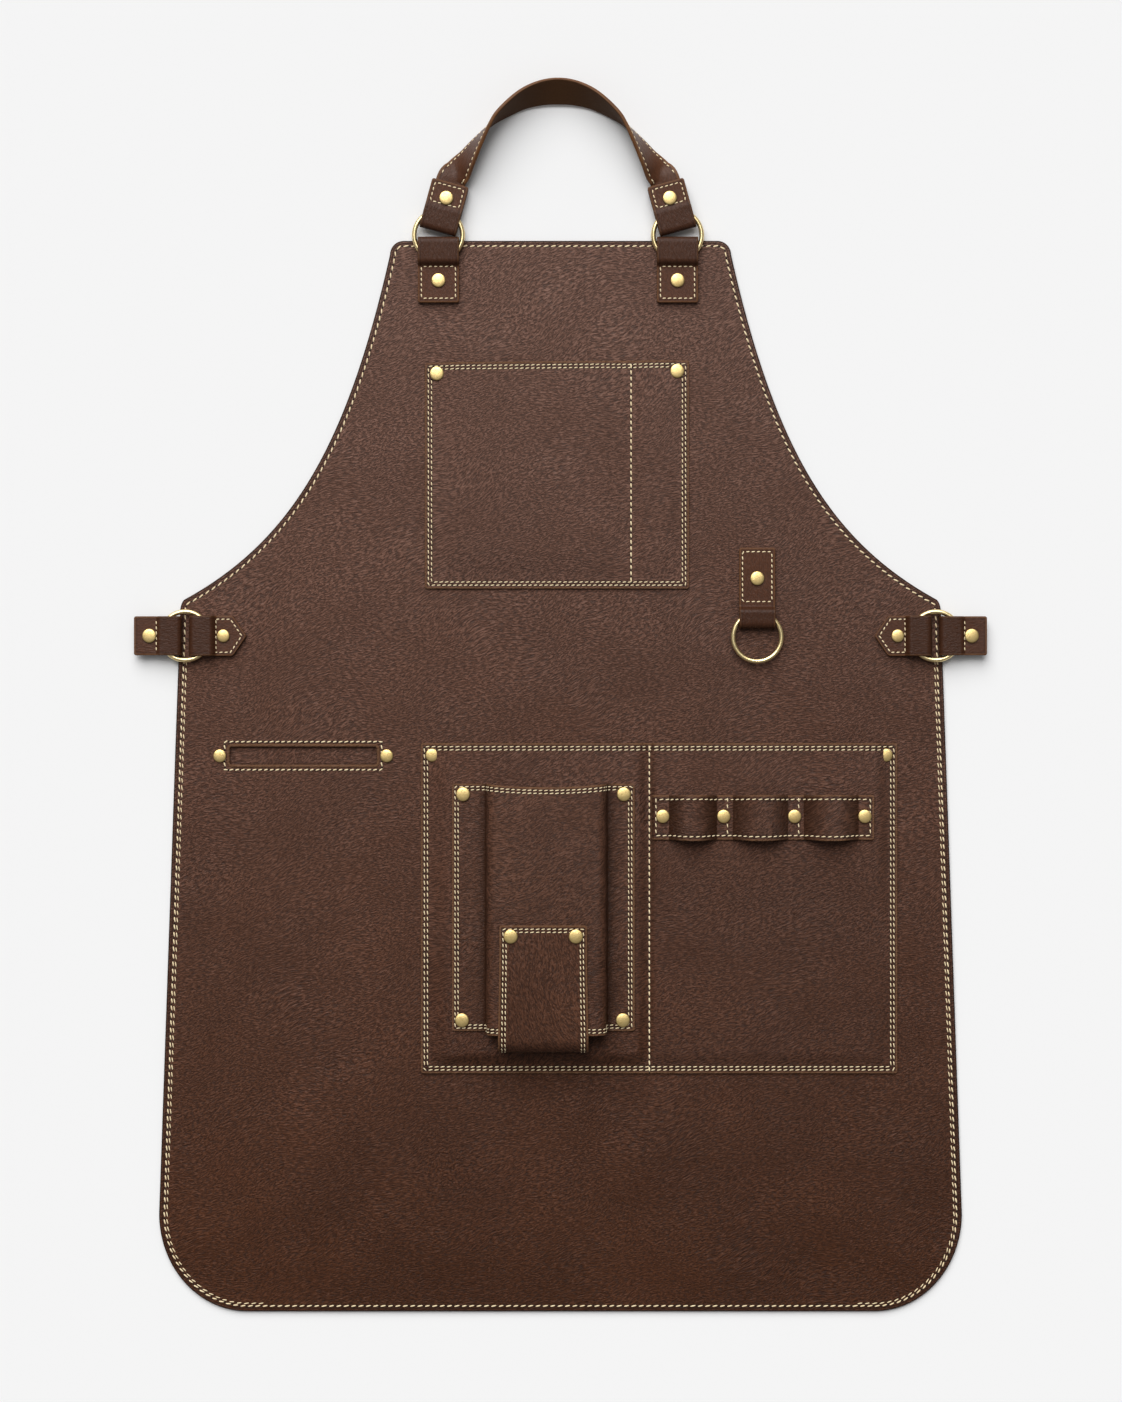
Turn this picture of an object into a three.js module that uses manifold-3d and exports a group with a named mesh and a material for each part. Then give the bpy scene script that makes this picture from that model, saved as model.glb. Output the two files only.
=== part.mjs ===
// Leather welding apron, lying flat with its front face up.
// Millimetres, +Z up, +Y from the hem to the neck, +X to the right of the front face.
// The origin is under the middle of the whole apron, on the surface it lies on.
import * as THREE from 'three';
import { mergeVertices } from 'three/addons/utils/BufferGeometryUtils.js';
import Module from 'manifold-3d';

const wasm = await Module();
wasm.setup();

// ---- driving sizes: leather and hardware ----
const LAYER_GAP = 0.1; // air between layers of leather that are sewn face to face
const PANEL_THICK = 2;
const POCKET_THICK = 1.6;
const TAB_THICK = 1.8;
const STRAP_THICK = 3;
const STRAP_WIDTH = 24;
const POST_RADIUS = 1.6;
const POST_CLEARANCE = 0.3;
const BACK_CAP_RADIUS = 4.5;
const BACK_CAP_HEIGHT = 1.3;
const CAP_RADIUS = 5.6;
const CAP_HEIGHT = 2.1;
const RIVET_SIDES = 10;
const WIRE_RADIUS = 1.9;
const RING_CLEARANCE = 0.5; // from the wire to the leather folded round it
const TAB_EDGE_CLEARANCE = 0.2; // from a folded tab's edges to the inside of its ring

// ---- driving sizes: panel ----
const BIB_WIDTH = 272.8;
const BIB_TOP = 364;
const BIB_CORNER = 11;
const SHOULDER_WIDTH = 608; // where the armholes end
const SHOULDER_Y = 73;
const HEM_WIDTH = 642;
const HEM_Y = -492;
const HEM_CORNER_X = 70;
const HEM_CORNER_Y = 78;
const SIDE_CORNER = 6; // blends an armhole into the side

// ---- driving sizes: bib pocket ----
const BIB_POCKET = { left: -108.4, right: 102.8, top: 267.2, bottom: 85.6, rise: 5 };
const BIB_DIVIDER = 56.4;

// ---- driving sizes: tool pocket ----
const TOOL_POCKET = { left: -111.6, right: 269.2, top: -37.6, bottom: -301.6, rise: 6.4 };
const TOOL_DIVIDER = 71;

// ---- driving sizes: holster, its strap and the tool loops ----
const HOLSTER = { x: -13.6, width: 145.6, top: -69.8, bottom: -266.9 };
const CHANNEL = { shift: 2.4, width: 96, inside: 22, corner: 4 };
const TONGUE = { width: 69.4, top: -181, bottom: -282.4, tuck: 18 };
const LOOP_STRAP = { left: 73.2, right: 249.8, top: -79, width: 35.6, thick: 1.8 };
const LOOP_RISE = 11;
const LOOP_RIVETS = [81.4, 129.9, 186.3, 242.2];
const LOOP_STARTS = [87.5, 138.2, 194.8];
const LOOP_ENDS = [123.4, 180, 236.1];

// ---- driving sizes: slot pocket ----
const SLOT = { x: -205.6, y: -47.8, width: 118, height: 14.6, corner: 2 };
const SLOT_BACKING = { width: 121.6, height: 24, thick: 1.3 };
const SLOT_RIVET_SPREAD = 133.4;

// ---- driving sizes: tabs folded round rings ----
// offset is from the ring's middle to the outside of the fold, rivet and tail are from where
// the two legs have closed to the rivet and to the loose ends.
const DESCENT = 3; // how far the front leg takes to come down beside the wire
const LOWER_TAB = { width: 33, offset: 2, rivet: 11.4, tail: 29.1 };
const UPPER_TAB = { width: 30, offset: 3.6, rivet: 5.6, tail: 18.5, lean: 15.3 };
const TOOL_TAB = { width: 28.8, offset: 7.7, rivet: 22.4, tail: 46.9 };
const WAIST_TAB = { width: 32.2, offset: 3.8, rivet: 5.8, tail: 24.3, point: 11 };
const STRAP_END = { width: 31.2, offset: 3.4, descent: 1, rivet: 5.9, tail: 18.3 };
const FOLD_ROOM = 0.3; // past the wire before a tab's legs start to close

// ---- driving sizes: places of the rings ----
const NECK_X = -2;
const NECK_INSET = 41; // from the bib's sides in to the middles of the neck rings
const NECK_RING_RISE = 3.6; // from the bib's top edge up to the middles of the rings
const ARCH_SLOPE = 0.765; // the arch's rise over the upper tabs' ends, for each mm out to a ring
const STRAP_END_GAP = 1.6; // between the strap's end and the closing of the tab's legs
const STRAP_CLEARANCE = 0.3; // from the strap to each leg of the tab
const FLOOR_CLEARANCE = 0.3; // under the strap's lower edge
const WAIST_Y = 48;
const WAIST_INSET = 5.5; // from the panel's side in to the middle of a waist ring
const TOOL_RING = { x: 157, y: 47 };

// ---- levels that follow from them ----
const PANEL_BACK = BACK_CAP_HEIGHT + LAYER_GAP;
const PANEL_FRONT = PANEL_BACK + PANEL_THICK;
const POCKET_BACK = PANEL_FRONT + LAYER_GAP;
const POCKET_FRONT = POCKET_BACK + POCKET_THICK;
const TOOL_POCKET_FRONT = POCKET_FRONT + TOOL_POCKET.rise;
const LOOP_HALF_GAP = WIRE_RADIUS + RING_CLEARANCE;
const RING_Z = PANEL_FRONT + LAYER_GAP + TAB_THICK + LOOP_HALF_GAP;
const HOLE_RADIUS = POST_RADIUS + POST_CLEARANCE;
// Every ring is the smallest that all the folded tabs go into.
const RING_INSIDE = Math.max(...[LOWER_TAB, UPPER_TAB, TOOL_TAB, WAIST_TAB, STRAP_END].map(
  ({ width, offset }) => Math.hypot(width / 2 + TAB_EDGE_CLEARANCE, offset + TAB_THICK)));
const RING_RADIUS = RING_INSIDE + WIRE_RADIUS; // to the middle of the wire
const NECK_RING_X = BIB_WIDTH / 2 - NECK_INSET;
const NECK_RING_Y = BIB_TOP + NECK_RING_RISE;
const NECK_ARCH = ARCH_SLOPE * NECK_RING_X;

const COLOURS = {
  hide: { color: 0x54392c, roughness: 0.75, metalness: 0 },
  pocket_hide: { color: 0x5a3d30, roughness: 0.72, metalness: 0 },
  strap_leather: { color: 0x4a3020, roughness: 0.6, metalness: 0 },
  brass: { color: 0xb58a45, roughness: 0.3, metalness: 1 },
};

const apron = new THREE.Group();

function add(name, geometry, finish, place = {}) {
  const mesh = new THREE.Mesh(geometry, new THREE.MeshStandardMaterial(COLOURS[finish]));
  mesh.name = name;
  mesh.position.set(place.x ?? 0, place.y ?? 0, 0);
  mesh.rotation.z = place.turn ?? 0;
  apron.add(mesh);
  return mesh;
}

// ---- solids ----

function toManifold(geometry) {
  const bare = geometry.clone();
  bare.deleteAttribute('normal');
  bare.deleteAttribute('uv');
  const merged = mergeVertices(bare, 1e-4);
  return new wasm.Manifold(new wasm.Mesh({
    numProp: 3,
    vertProperties: new Float32Array(merged.attributes.position.array),
    triVerts: new Uint32Array(merged.index.array),
  }));
}

function toGeometry(solid) {
  const mesh = solid.getMesh();
  const geometry = new THREE.BufferGeometry();
  geometry.setAttribute('position', new THREE.BufferAttribute(mesh.vertProperties, 3));
  geometry.setIndex(new THREE.BufferAttribute(mesh.triVerts, 1));
  return geometry;
}

function circlePoints(x, y, radius, count) {
  return Array.from({ length: count }, (_, i) => {
    const angle = (i / count) * 2 * Math.PI;
    return new THREE.Vector2(x + radius * Math.cos(angle), y + radius * Math.sin(angle));
  });
}

// An upright drill from z = low to z = high through each [x, y].
function drill(geometry, places, low = -20, high = 80) {
  let solid = toManifold(geometry);
  for (const [x, y] of places) {
    const bit = prism(circlePoints(x, y, HOLE_RADIUS, 8), [], low, high);
    solid = solid.subtract(toManifold(bit));
  }
  return toGeometry(solid);
}

// A flat plate with an outline in XY, from z = low to z = high.
function prism(outline, holes, low, high) {
  const shape = new THREE.Shape(outline);
  shape.holes = holes.map((points) => new THREE.Path(points));
  const settings = { depth: high - low, bevelEnabled: false, curveSegments: 1 };
  const geometry = new THREE.ExtrudeGeometry(shape, settings);
  geometry.translate(0, 0, low);
  return geometry;
}

// A section drawn as (x, z), carried along Y from y = near to y = far.
function alongY(section, near, far) {
  const settings = { depth: far - near, bevelEnabled: false };
  const geometry = new THREE.ExtrudeGeometry(new THREE.Shape(section), settings);
  const basis = new THREE.Matrix4().makeBasis(
    new THREE.Vector3(1, 0, 0), new THREE.Vector3(0, 0, 1), new THREE.Vector3(0, -1, 0));
  geometry.applyMatrix4(basis);
  geometry.translate(0, far, 0);
  return geometry;
}

// A section drawn as (y, z), carried along X from x = left to x = right.
function alongX(section, left, right) {
  const settings = { depth: right - left, bevelEnabled: false };
  const geometry = new THREE.ExtrudeGeometry(new THREE.Shape(section), settings);
  const basis = new THREE.Matrix4().makeBasis(
    new THREE.Vector3(0, 1, 0), new THREE.Vector3(0, 0, 1), new THREE.Vector3(1, 0, 0));
  geometry.applyMatrix4(basis);
  geometry.translate(left, 0, 0);
  return geometry;
}

// A sheet over the columns xs and rows ys, whose underside is at underside(x, y).
function raisedSheet(xs, ys, underside, thick) {
  const columns = xs.length - 1;
  const rows = ys.length - 1;
  const geometry = new THREE.BoxGeometry(columns, rows, 1, columns, rows, 1);
  const at = geometry.attributes.position;
  for (let i = 0; i < at.count; i += 1) {
    const x = xs[Math.round(at.getX(i) + columns / 2)];
    const y = ys[Math.round(at.getY(i) + rows / 2)];
    const z = underside(x, y) + (at.getZ(i) > 0 ? thick : 0);
    at.setXYZ(i, x, y, z);
  }
  return geometry;
}

// Points of an arc about (a, b), from one angle to another, in degrees.
function arc(a, b, radiusA, radiusB, from, to, steps) {
  return Array.from({ length: steps + 1 }, (_, i) => {
    const angle = THREE.MathUtils.degToRad(from + ((to - from) * i) / steps);
    return new THREE.Vector2(a + radiusA * Math.cos(angle), b + radiusB * Math.sin(angle));
  });
}

function smooth(value, start, end) {
  return THREE.MathUtils.smoothstep(value, start, end);
}

// ---- rivets: a flat back cap, a post and a domed front cap, turned as one solid ----

function addRivet(name, x, y, underside, topside, capRadius = CAP_RADIUS) {
  const back = underside - LAYER_GAP;
  const front = topside + LAYER_GAP;
  const profile = [
    [0, back - BACK_CAP_HEIGHT],
    [BACK_CAP_RADIUS, back - BACK_CAP_HEIGHT],
    [BACK_CAP_RADIUS, back],
    [POST_RADIUS, back],
    [POST_RADIUS, front],
    [capRadius, front],
    [capRadius, front + CAP_HEIGHT * 0.35],
    [capRadius * 0.62, front + CAP_HEIGHT * 0.85],
    [0, front + CAP_HEIGHT],
  ].map(([r, z]) => new THREE.Vector2(r, z));
  const geometry = new THREE.LatheGeometry(profile, RIVET_SIDES);
  geometry.rotateX(Math.PI / 2);
  add(name, geometry, 'brass', { x, y });
}

// ---- panel ----

function sideX(y) {
  const share = (SHOULDER_Y - y) / (SHOULDER_Y - HEM_Y - HEM_CORNER_Y);
  return THREE.MathUtils.lerp(SHOULDER_WIDTH / 2, HEM_WIDTH / 2, share);
}

// The right half of the outline, from the middle of the top edge round to the middle of the hem.
function halfOutline() {
  const bibX = BIB_WIDTH / 2;
  const armStart = new THREE.Vector2(bibX, BIB_TOP - BIB_CORNER);
  const armEnd = new THREE.Vector2(SHOULDER_WIDTH / 2 - 3, SHOULDER_Y + 4);
  const fall = new THREE.Vector2(0.22, -0.975).multiplyScalar(0.5 * (BIB_TOP - SHOULDER_Y + 30));
  const sweep = new THREE.Vector2(0.877, -0.48).multiplyScalar(0.33 * (BIB_TOP - SHOULDER_Y));
  const armhole = new THREE.CubicBezierCurve(
    armStart, armStart.clone().add(fall), armEnd.clone().sub(sweep), armEnd);
  const corner = new THREE.QuadraticBezierCurve(
    armEnd,
    new THREE.Vector2(SHOULDER_WIDTH / 2, SHOULDER_Y + 1),
    new THREE.Vector2(sideX(SHOULDER_Y - SIDE_CORNER), SHOULDER_Y - SIDE_CORNER));
  const hemX = HEM_WIDTH / 2 - HEM_CORNER_X;
  const hemY = HEM_Y + HEM_CORNER_Y;
  return [
    ...arc(bibX - BIB_CORNER, BIB_TOP - BIB_CORNER, BIB_CORNER, BIB_CORNER, 90, 0, 4),
    ...armhole.getPoints(18).slice(1),
    ...corner.getPoints(3).slice(1),
    ...arc(hemX, hemY, HEM_CORNER_X, HEM_CORNER_Y, 0, -90, 10),
  ];
}

function panelOutline() {
  const right = halfOutline();
  const left = right.map((p) => new THREE.Vector2(-p.x, p.y)).reverse();
  return [...right, ...left];
}

function slotOutline() {
  const { x, y, width, height, corner } = SLOT;
  const a = width / 2 - corner;
  const b = height / 2 - corner;
  return [
    ...arc(x + a, y + b, corner, corner, 0, 90, 2),
    ...arc(x - a, y + b, corner, corner, 90, 180, 2),
    ...arc(x - a, y - b, corner, corner, 180, 270, 2),
    ...arc(x + a, y - b, corner, corner, 270, 360, 2),
  ];
}

// ---- places of the rivets that go through the panel ----

const SIDES = [['left', -1], ['right', 1]];
const EDGE_INSET = 9.6; // from a pocket's corner to its rivet
const bibPocketRivets = [
  [BIB_POCKET.left + EDGE_INSET, BIB_POCKET.top - EDGE_INSET],
  [BIB_POCKET.right - EDGE_INSET, BIB_POCKET.top - EDGE_INSET + 2],
];
const toolPocketRivets = [
  [TOOL_POCKET.left + EDGE_INSET - 0.6, TOOL_POCKET.top - EDGE_INSET],
  [TOOL_POCKET.right - EDGE_INSET + 0.4, TOOL_POCKET.top - EDGE_INSET],
];
const slotRivets = [-1, 1].map((side) => [SLOT.x + (side * SLOT_RIVET_SPREAD) / 2, SLOT.y]);
// Distances along a tab from its fold: where the legs start to close, where they have closed,
// the rivet and the loose ends.
function along(tab) {
  const reach = RING_RADIUS + WIRE_RADIUS - tab.offset + FOLD_ROOM;
  const closed = reach + (tab.descent ?? DESCENT);
  return { reach, closed, rivet: closed + tab.rivet, length: closed + tab.tail };
}

const neckRingX = SIDES.map(([, side]) => NECK_X + side * NECK_RING_X);
const lowerFold = NECK_RING_Y - LOWER_TAB.offset;
const lowerTabRivets = neckRingX.map((x) => [x, lowerFold - along(LOWER_TAB).rivet]);
const toolFold = TOOL_RING.y + TOOL_TAB.offset;
const toolTabRivet = [TOOL_RING.x, toolFold + along(TOOL_TAB).rivet];
const waistRingX = sideX(WAIST_Y) - WAIST_INSET;
const waistFold = waistRingX - WAIST_TAB.offset;
const waistTabRivets = SIDES.map(([, side]) => [side * (waistFold - along(WAIST_TAB).rivet), WAIST_Y]);

const panelHoles = [
  ...bibPocketRivets, ...toolPocketRivets, ...slotRivets,
  ...lowerTabRivets, toolTabRivet, ...waistTabRivets,
].map(([x, y]) => circlePoints(x, y, HOLE_RADIUS, 8));
add('apron_panel', prism(panelOutline(), [...panelHoles, slotOutline()], PANEL_BACK, PANEL_FRONT), 'hide');

// ---- slot pocket ----

const backing = prism([
  new THREE.Vector2(SLOT.x - SLOT_BACKING.width / 2, SLOT.y - SLOT_BACKING.height / 2),
  new THREE.Vector2(SLOT.x + SLOT_BACKING.width / 2, SLOT.y - SLOT_BACKING.height / 2),
  new THREE.Vector2(SLOT.x + SLOT_BACKING.width / 2, SLOT.y + SLOT_BACKING.height / 2),
  new THREE.Vector2(SLOT.x - SLOT_BACKING.width / 2, SLOT.y + SLOT_BACKING.height / 2),
], [], PANEL_BACK - LAYER_GAP - SLOT_BACKING.thick, PANEL_BACK - LAYER_GAP);
add('slot_backing', backing, 'pocket_hide');
slotRivets.forEach(([x, y], i) => {
  addRivet(`slot_rivet_${i + 1}`, x, y, PANEL_BACK, PANEL_FRONT, 5.2);
});

// ---- pockets: sewn flat round the sides and the bottom, and at the divider ----

const SEAM = 5.6; // sewn flat margin
const RAMP = 5; // from the sewn margin up to the full depth

// Height of a pocket's front over the panel: full depth inside each compartment.
function pocketRise(pocket, compartments, x, y) {
  let across = 0;
  for (const { from, to, rampIn, rampOut } of compartments) {
    const up = smooth(x, from, from + rampIn);
    const down = 1 - smooth(x, to - rampOut, to);
    across = Math.max(across, up * down);
  }
  const along = smooth(y, pocket.bottom + 2 * SEAM, pocket.bottom + 2 * SEAM + 1.6 * RAMP);
  return pocket.rise * across * along;
}

function between(from, to, steps) {
  return Array.from({ length: steps + 1 }, (_, i) => from + ((to - from) * i) / steps);
}

function pocketColumns(pocket, compartments) {
  const xs = [pocket.left, pocket.right];
  for (const { from, to, rampIn, rampOut } of compartments) {
    xs.push(...between(from, from + rampIn, 3), ...between(to - rampOut, to, 3));
  }
  return [...new Set(xs)].sort((a, b) => a - b);
}

function pocketRows(pocket) {
  const start = pocket.bottom + 2 * SEAM;
  return [pocket.bottom, ...between(start, start + 1.6 * RAMP, 3), pocket.top];
}

const BIB_COMPARTMENTS = [
  { from: BIB_POCKET.left + 16.4, to: BIB_DIVIDER - 1.6, rampIn: RAMP, rampOut: RAMP },
  { from: BIB_DIVIDER + 1.6, to: BIB_POCKET.right - 16.4, rampIn: 4, rampOut: 4 },
];
const TOOL_COMPARTMENTS = [
  { from: TOOL_POCKET.left + 16, to: TOOL_DIVIDER - 0.8, rampIn: RAMP, rampOut: RAMP },
  { from: TOOL_DIVIDER + 0.8, to: TOOL_POCKET.right - 15.4, rampIn: 3.6, rampOut: 4 },
];

function pocketUnderside(pocket, compartments) {
  return (x, y) => POCKET_BACK + pocketRise(pocket, compartments, x, y);
}

const bibUnderside = pocketUnderside(BIB_POCKET, BIB_COMPARTMENTS);
const bibPocket = raisedSheet(
  pocketColumns(BIB_POCKET, BIB_COMPARTMENTS), pocketRows(BIB_POCKET), bibUnderside, POCKET_THICK);
add('bib_pocket', drill(bibPocket, bibPocketRivets), 'pocket_hide');
bibPocketRivets.forEach(([x, y], i) => {
  addRivet(`bib_pocket_rivet_${i + 1}`, x, y, PANEL_BACK, POCKET_FRONT);
});

// ---- tool pocket, with the rivets of the holster and the loops going through its front ----

const holsterRivets = [
  [HOLSTER.x - HOLSTER.width / 2 + 8.8, HOLSTER.top - 8.4],
  [HOLSTER.x + HOLSTER.width / 2 - 8.8, HOLSTER.top - 8.4],
  [HOLSTER.x - HOLSTER.width / 2 + 8, HOLSTER.bottom + 8.8],
  [HOLSTER.x + HOLSTER.width / 2 - 9.6, HOLSTER.bottom + 8.8],
];
const loopRivets = LOOP_RIVETS.map((x) => [x, LOOP_STRAP.top - LOOP_STRAP.width / 2 + 1]);

const toolUnderside = pocketUnderside(TOOL_POCKET, TOOL_COMPARTMENTS);
const toolPocket = raisedSheet(
  pocketColumns(TOOL_POCKET, TOOL_COMPARTMENTS), pocketRows(TOOL_POCKET), toolUnderside, POCKET_THICK);
const toolPocketHoles = [...toolPocketRivets, ...holsterRivets, ...loopRivets];
add('tool_pocket', drill(toolPocket, toolPocketHoles), 'pocket_hide');
toolPocketRivets.forEach(([x, y], i) => {
  addRivet(`tool_pocket_rivet_${i + 1}`, x, y, PANEL_BACK, POCKET_FRONT, 5.2);
});

// ---- holster: a top-hat section, sewn by its flanges to the tool pocket's front ----

const flangeBack = TOOL_POCKET_FRONT + LAYER_GAP;
const flangeFront = flangeBack + POCKET_THICK;
const channelInside = flangeBack + CHANNEL.inside;
const channelFront = channelInside + POCKET_THICK;

function holsterSection() {
  const left = HOLSTER.x - HOLSTER.width / 2;
  const right = HOLSTER.x + HOLSTER.width / 2;
  const middle = HOLSTER.x + CHANNEL.shift;
  const outer = CHANNEL.width / 2;
  const inner = outer - POCKET_THICK;
  const r = CHANNEL.corner;
  const q = r - POCKET_THICK;
  return [
    new THREE.Vector2(left, flangeFront),
    new THREE.Vector2(left, flangeBack),
    new THREE.Vector2(middle - inner, flangeBack),
    ...arc(middle - inner + q, channelInside - q, q, q, 180, 90, 3),
    ...arc(middle + inner - q, channelInside - q, q, q, 90, 0, 3),
    new THREE.Vector2(middle + inner, flangeBack),
    new THREE.Vector2(right, flangeBack),
    new THREE.Vector2(right, flangeFront),
    new THREE.Vector2(middle + outer, flangeFront),
    ...arc(middle + outer - r, channelFront - r, r, r, 0, 90, 3),
    ...arc(middle - outer + r, channelFront - r, r, r, 90, 180, 3),
    new THREE.Vector2(middle - outer, flangeFront),
  ];
}

const tongueRivets = [-1, 1].map((side) => (
  [HOLSTER.x + side * (TONGUE.width / 2 - 9), TONGUE.top - 8.6]));
const holster = alongY(holsterSection(), HOLSTER.bottom, HOLSTER.top);
add('holster_body', drill(holster, [...holsterRivets, ...tongueRivets]), 'pocket_hide');
holsterRivets.forEach(([x, y], i) => {
  addRivet(`holster_rivet_${i + 1}`, x, y, TOOL_POCKET_FRONT - POCKET_THICK, flangeFront);
});

// ---- holster strap: down the holster's front, round its open bottom and back underneath ----

function tongueSection() {
  const top = channelFront + LAYER_GAP + POCKET_THICK;
  const bottom = TOOL_POCKET_FRONT + LAYER_GAP;
  const radius = (top - bottom) / 2;
  const middle = (top + bottom) / 2;
  const centre = TONGUE.bottom + radius;
  const inner = radius - POCKET_THICK;
  const tail = centre + TONGUE.tuck;
  return [
    new THREE.Vector2(TONGUE.top, top),
    ...arc(centre, middle, radius, radius, 90, 270, 10),
    new THREE.Vector2(tail, bottom),
    new THREE.Vector2(tail, bottom + POCKET_THICK),
    ...arc(centre, middle, inner, inner, 270, 90, 10),
    new THREE.Vector2(TONGUE.top, top - POCKET_THICK),
  ];
}

const tongue = alongX(
  tongueSection(), HOLSTER.x - TONGUE.width / 2, HOLSTER.x + TONGUE.width / 2);
const tongueFront = channelFront + LAYER_GAP + POCKET_THICK;
// The drill stops above the tucked end, which has no holes.
add('holster_strap', drill(tongue, tongueRivets, channelFront, tongueFront + 5), 'pocket_hide');
tongueRivets.forEach(([x, y], i) => {
  addRivet(`holster_strap_rivet_${i + 1}`, x, y, channelInside, tongueFront);
});

// ---- tool loops: one strap over the right compartment, raised between its rivets ----

function loopRise(x) {
  let rise = 0;
  LOOP_STARTS.forEach((start, i) => {
    const share = (x - start) / (LOOP_ENDS[i] - start);
    if (share > 0 && share < 1) rise = LOOP_RISE * Math.sin(Math.PI * share) ** 0.85;
  });
  return rise;
}

function loopStrap() {
  const ramp = TOOL_COMPARTMENTS[1];
  const rampEnd = ramp.from + ramp.rampIn;
  const xs = [LOOP_STRAP.left, ...between(ramp.from, rampEnd, 3).filter((x) => x > LOOP_STRAP.left)];
  LOOP_STARTS.forEach((start, i) => xs.push(...between(start, LOOP_ENDS[i], 10)));
  xs.push(LOOP_STRAP.right);
  const ys = [LOOP_STRAP.top - LOOP_STRAP.width, LOOP_STRAP.top];
  const over = (x, y) => toolUnderside(x, y) + POCKET_THICK + LAYER_GAP + loopRise(x);
  return raisedSheet(xs, ys, over, LOOP_STRAP.thick);
}

add('tool_loops', drill(loopStrap(), loopRivets), 'pocket_hide');
const loopFront = TOOL_POCKET_FRONT + LAYER_GAP + LOOP_STRAP.thick;
loopRivets.forEach(([x, y], i) => {
  addRivet(`tool_loop_rivet_${i + 1}`, x, y, TOOL_POCKET_FRONT - POCKET_THICK, loopFront, 5.4);
});

// ---- folded tabs ----

// Section of a strip folded round a ring's wire, drawn from the fold to the two loose ends.
// The legs are apart by the wire at first, and then close to backIn and frontIn, the heights
// of their inner faces.
function foldSection(tab, backIn, frontIn) {
  const { reach, closed, length } = along(tab);
  const t = TAB_THICK;
  const radius = LOOP_HALF_GAP + t;
  const low = RING_Z - LOOP_HALF_GAP;
  const high = RING_Z + LOOP_HALF_GAP;
  return [
    new THREE.Vector2(length, backIn - t),
    new THREE.Vector2(closed, backIn - t),
    new THREE.Vector2(reach, low - t),
    ...arc(radius, RING_Z, radius, radius, 270, 90, 8),
    new THREE.Vector2(reach, high + t),
    new THREE.Vector2(closed, frontIn + t),
    new THREE.Vector2(length, frontIn + t),
    new THREE.Vector2(length, frontIn),
    new THREE.Vector2(closed, frontIn),
    new THREE.Vector2(reach, high),
    ...arc(radius, RING_Z, LOOP_HALF_GAP, LOOP_HALF_GAP, 90, 270, 8),
    new THREE.Vector2(reach, low),
    new THREE.Vector2(closed, backIn),
    new THREE.Vector2(length, backIn),
  ];
}

const SEWN_BACK = RING_Z - LOOP_HALF_GAP; // inner face of a back leg that lies on the panel
const SEWN_FRONT = SEWN_BACK + LAYER_GAP;
const SEWN_TOP = SEWN_FRONT + TAB_THICK;

// A folded tab with its rivet's hole, lying along +X from its fold, which is at the origin.
function foldedTab(tab, backIn, frontIn) {
  const strip = alongY(foldSection(tab, backIn, frontIn), -tab.width / 2, tab.width / 2);
  const cut = tab.point ? pointed(strip, along(tab).length, tab.width, tab.point) : strip;
  return drill(cut, [[along(tab).rivet, 0]]);
}

// Keeps the part of a strip that lies inside a pointed outline.
function pointed(geometry, length, width, point) {
  const outline = [
    new THREE.Vector2(-1, -width),
    new THREE.Vector2(length - point, -width / 2 - 0.5),
    new THREE.Vector2(length, 0),
    new THREE.Vector2(length - point, width / 2 + 0.5),
    new THREE.Vector2(-1, width),
  ];
  return toGeometry(toManifold(geometry).intersect(toManifold(prism(outline, [], 0, 20))));
}

function ring(name, x, y) {
  const geometry = new THREE.TorusGeometry(RING_RADIUS, WIRE_RADIUS, 8, 28);
  geometry.translate(0, 0, RING_Z);
  add(name, geometry, 'brass', { x, y });
}

// ---- neck: lower tabs, rings, upper tabs and the strap ----

SIDES.forEach(([word], i) => {
  add(`neck_tab_lower_${word}`, foldedTab(LOWER_TAB, SEWN_BACK, SEWN_FRONT), 'strap_leather',
    { x: neckRingX[i], y: lowerFold, turn: -Math.PI / 2 });
  addRivet(`neck_tab_lower_rivet_${word}`, ...lowerTabRivets[i], PANEL_BACK, SEWN_TOP);
  ring(`neck_ring_${word}`, neckRingX[i], NECK_RING_Y);
});

const STRAP_BACK_IN = RING_Z - STRAP_THICK / 2 - STRAP_CLEARANCE;
const STRAP_FRONT_IN = RING_Z + STRAP_THICK / 2 + STRAP_CLEARANCE;
const upperLean = THREE.MathUtils.degToRad(UPPER_TAB.lean);

// The place that is s along an upper tab from its fold, on the given side.
function onUpperTab(side, s) {
  return [
    NECK_X + side * (NECK_RING_X + 0.6 - s * Math.sin(upperLean)),
    NECK_RING_Y + UPPER_TAB.offset + s * Math.cos(upperLean),
  ];
}

const upperTabRivets = SIDES.map(([, side]) => onUpperTab(side, along(UPPER_TAB).rivet));
SIDES.forEach(([word, side], i) => {
  const [x, y] = onUpperTab(side, 0);
  add(`neck_tab_upper_${word}`, foldedTab(UPPER_TAB, STRAP_BACK_IN, STRAP_FRONT_IN), 'strap_leather',
    { x, y, turn: Math.PI / 2 + side * upperLean });
  addRivet(`neck_tab_upper_rivet_${word}`, ...upperTabRivets[i],
    STRAP_BACK_IN - TAB_THICK, STRAP_FRONT_IN + TAB_THICK);
});

// The strap's middle line between a tab and the top of the arch: its distance out from the
// middle as a share of the rings', its rise as a share of the arch's, and its roll in degrees.
const STRAP_TURNS = [
  [0.834, 0.13, 20],
  [0.76, 0.265, 48],
  [0.671, 0.443, 67],
  [0.574, 0.62, 84],
  [0.482, 0.742, 98],
  [0.304, 0.9, 116],
  [0.147, 0.977, 130],
  [0, 1, 137],
];

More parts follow.
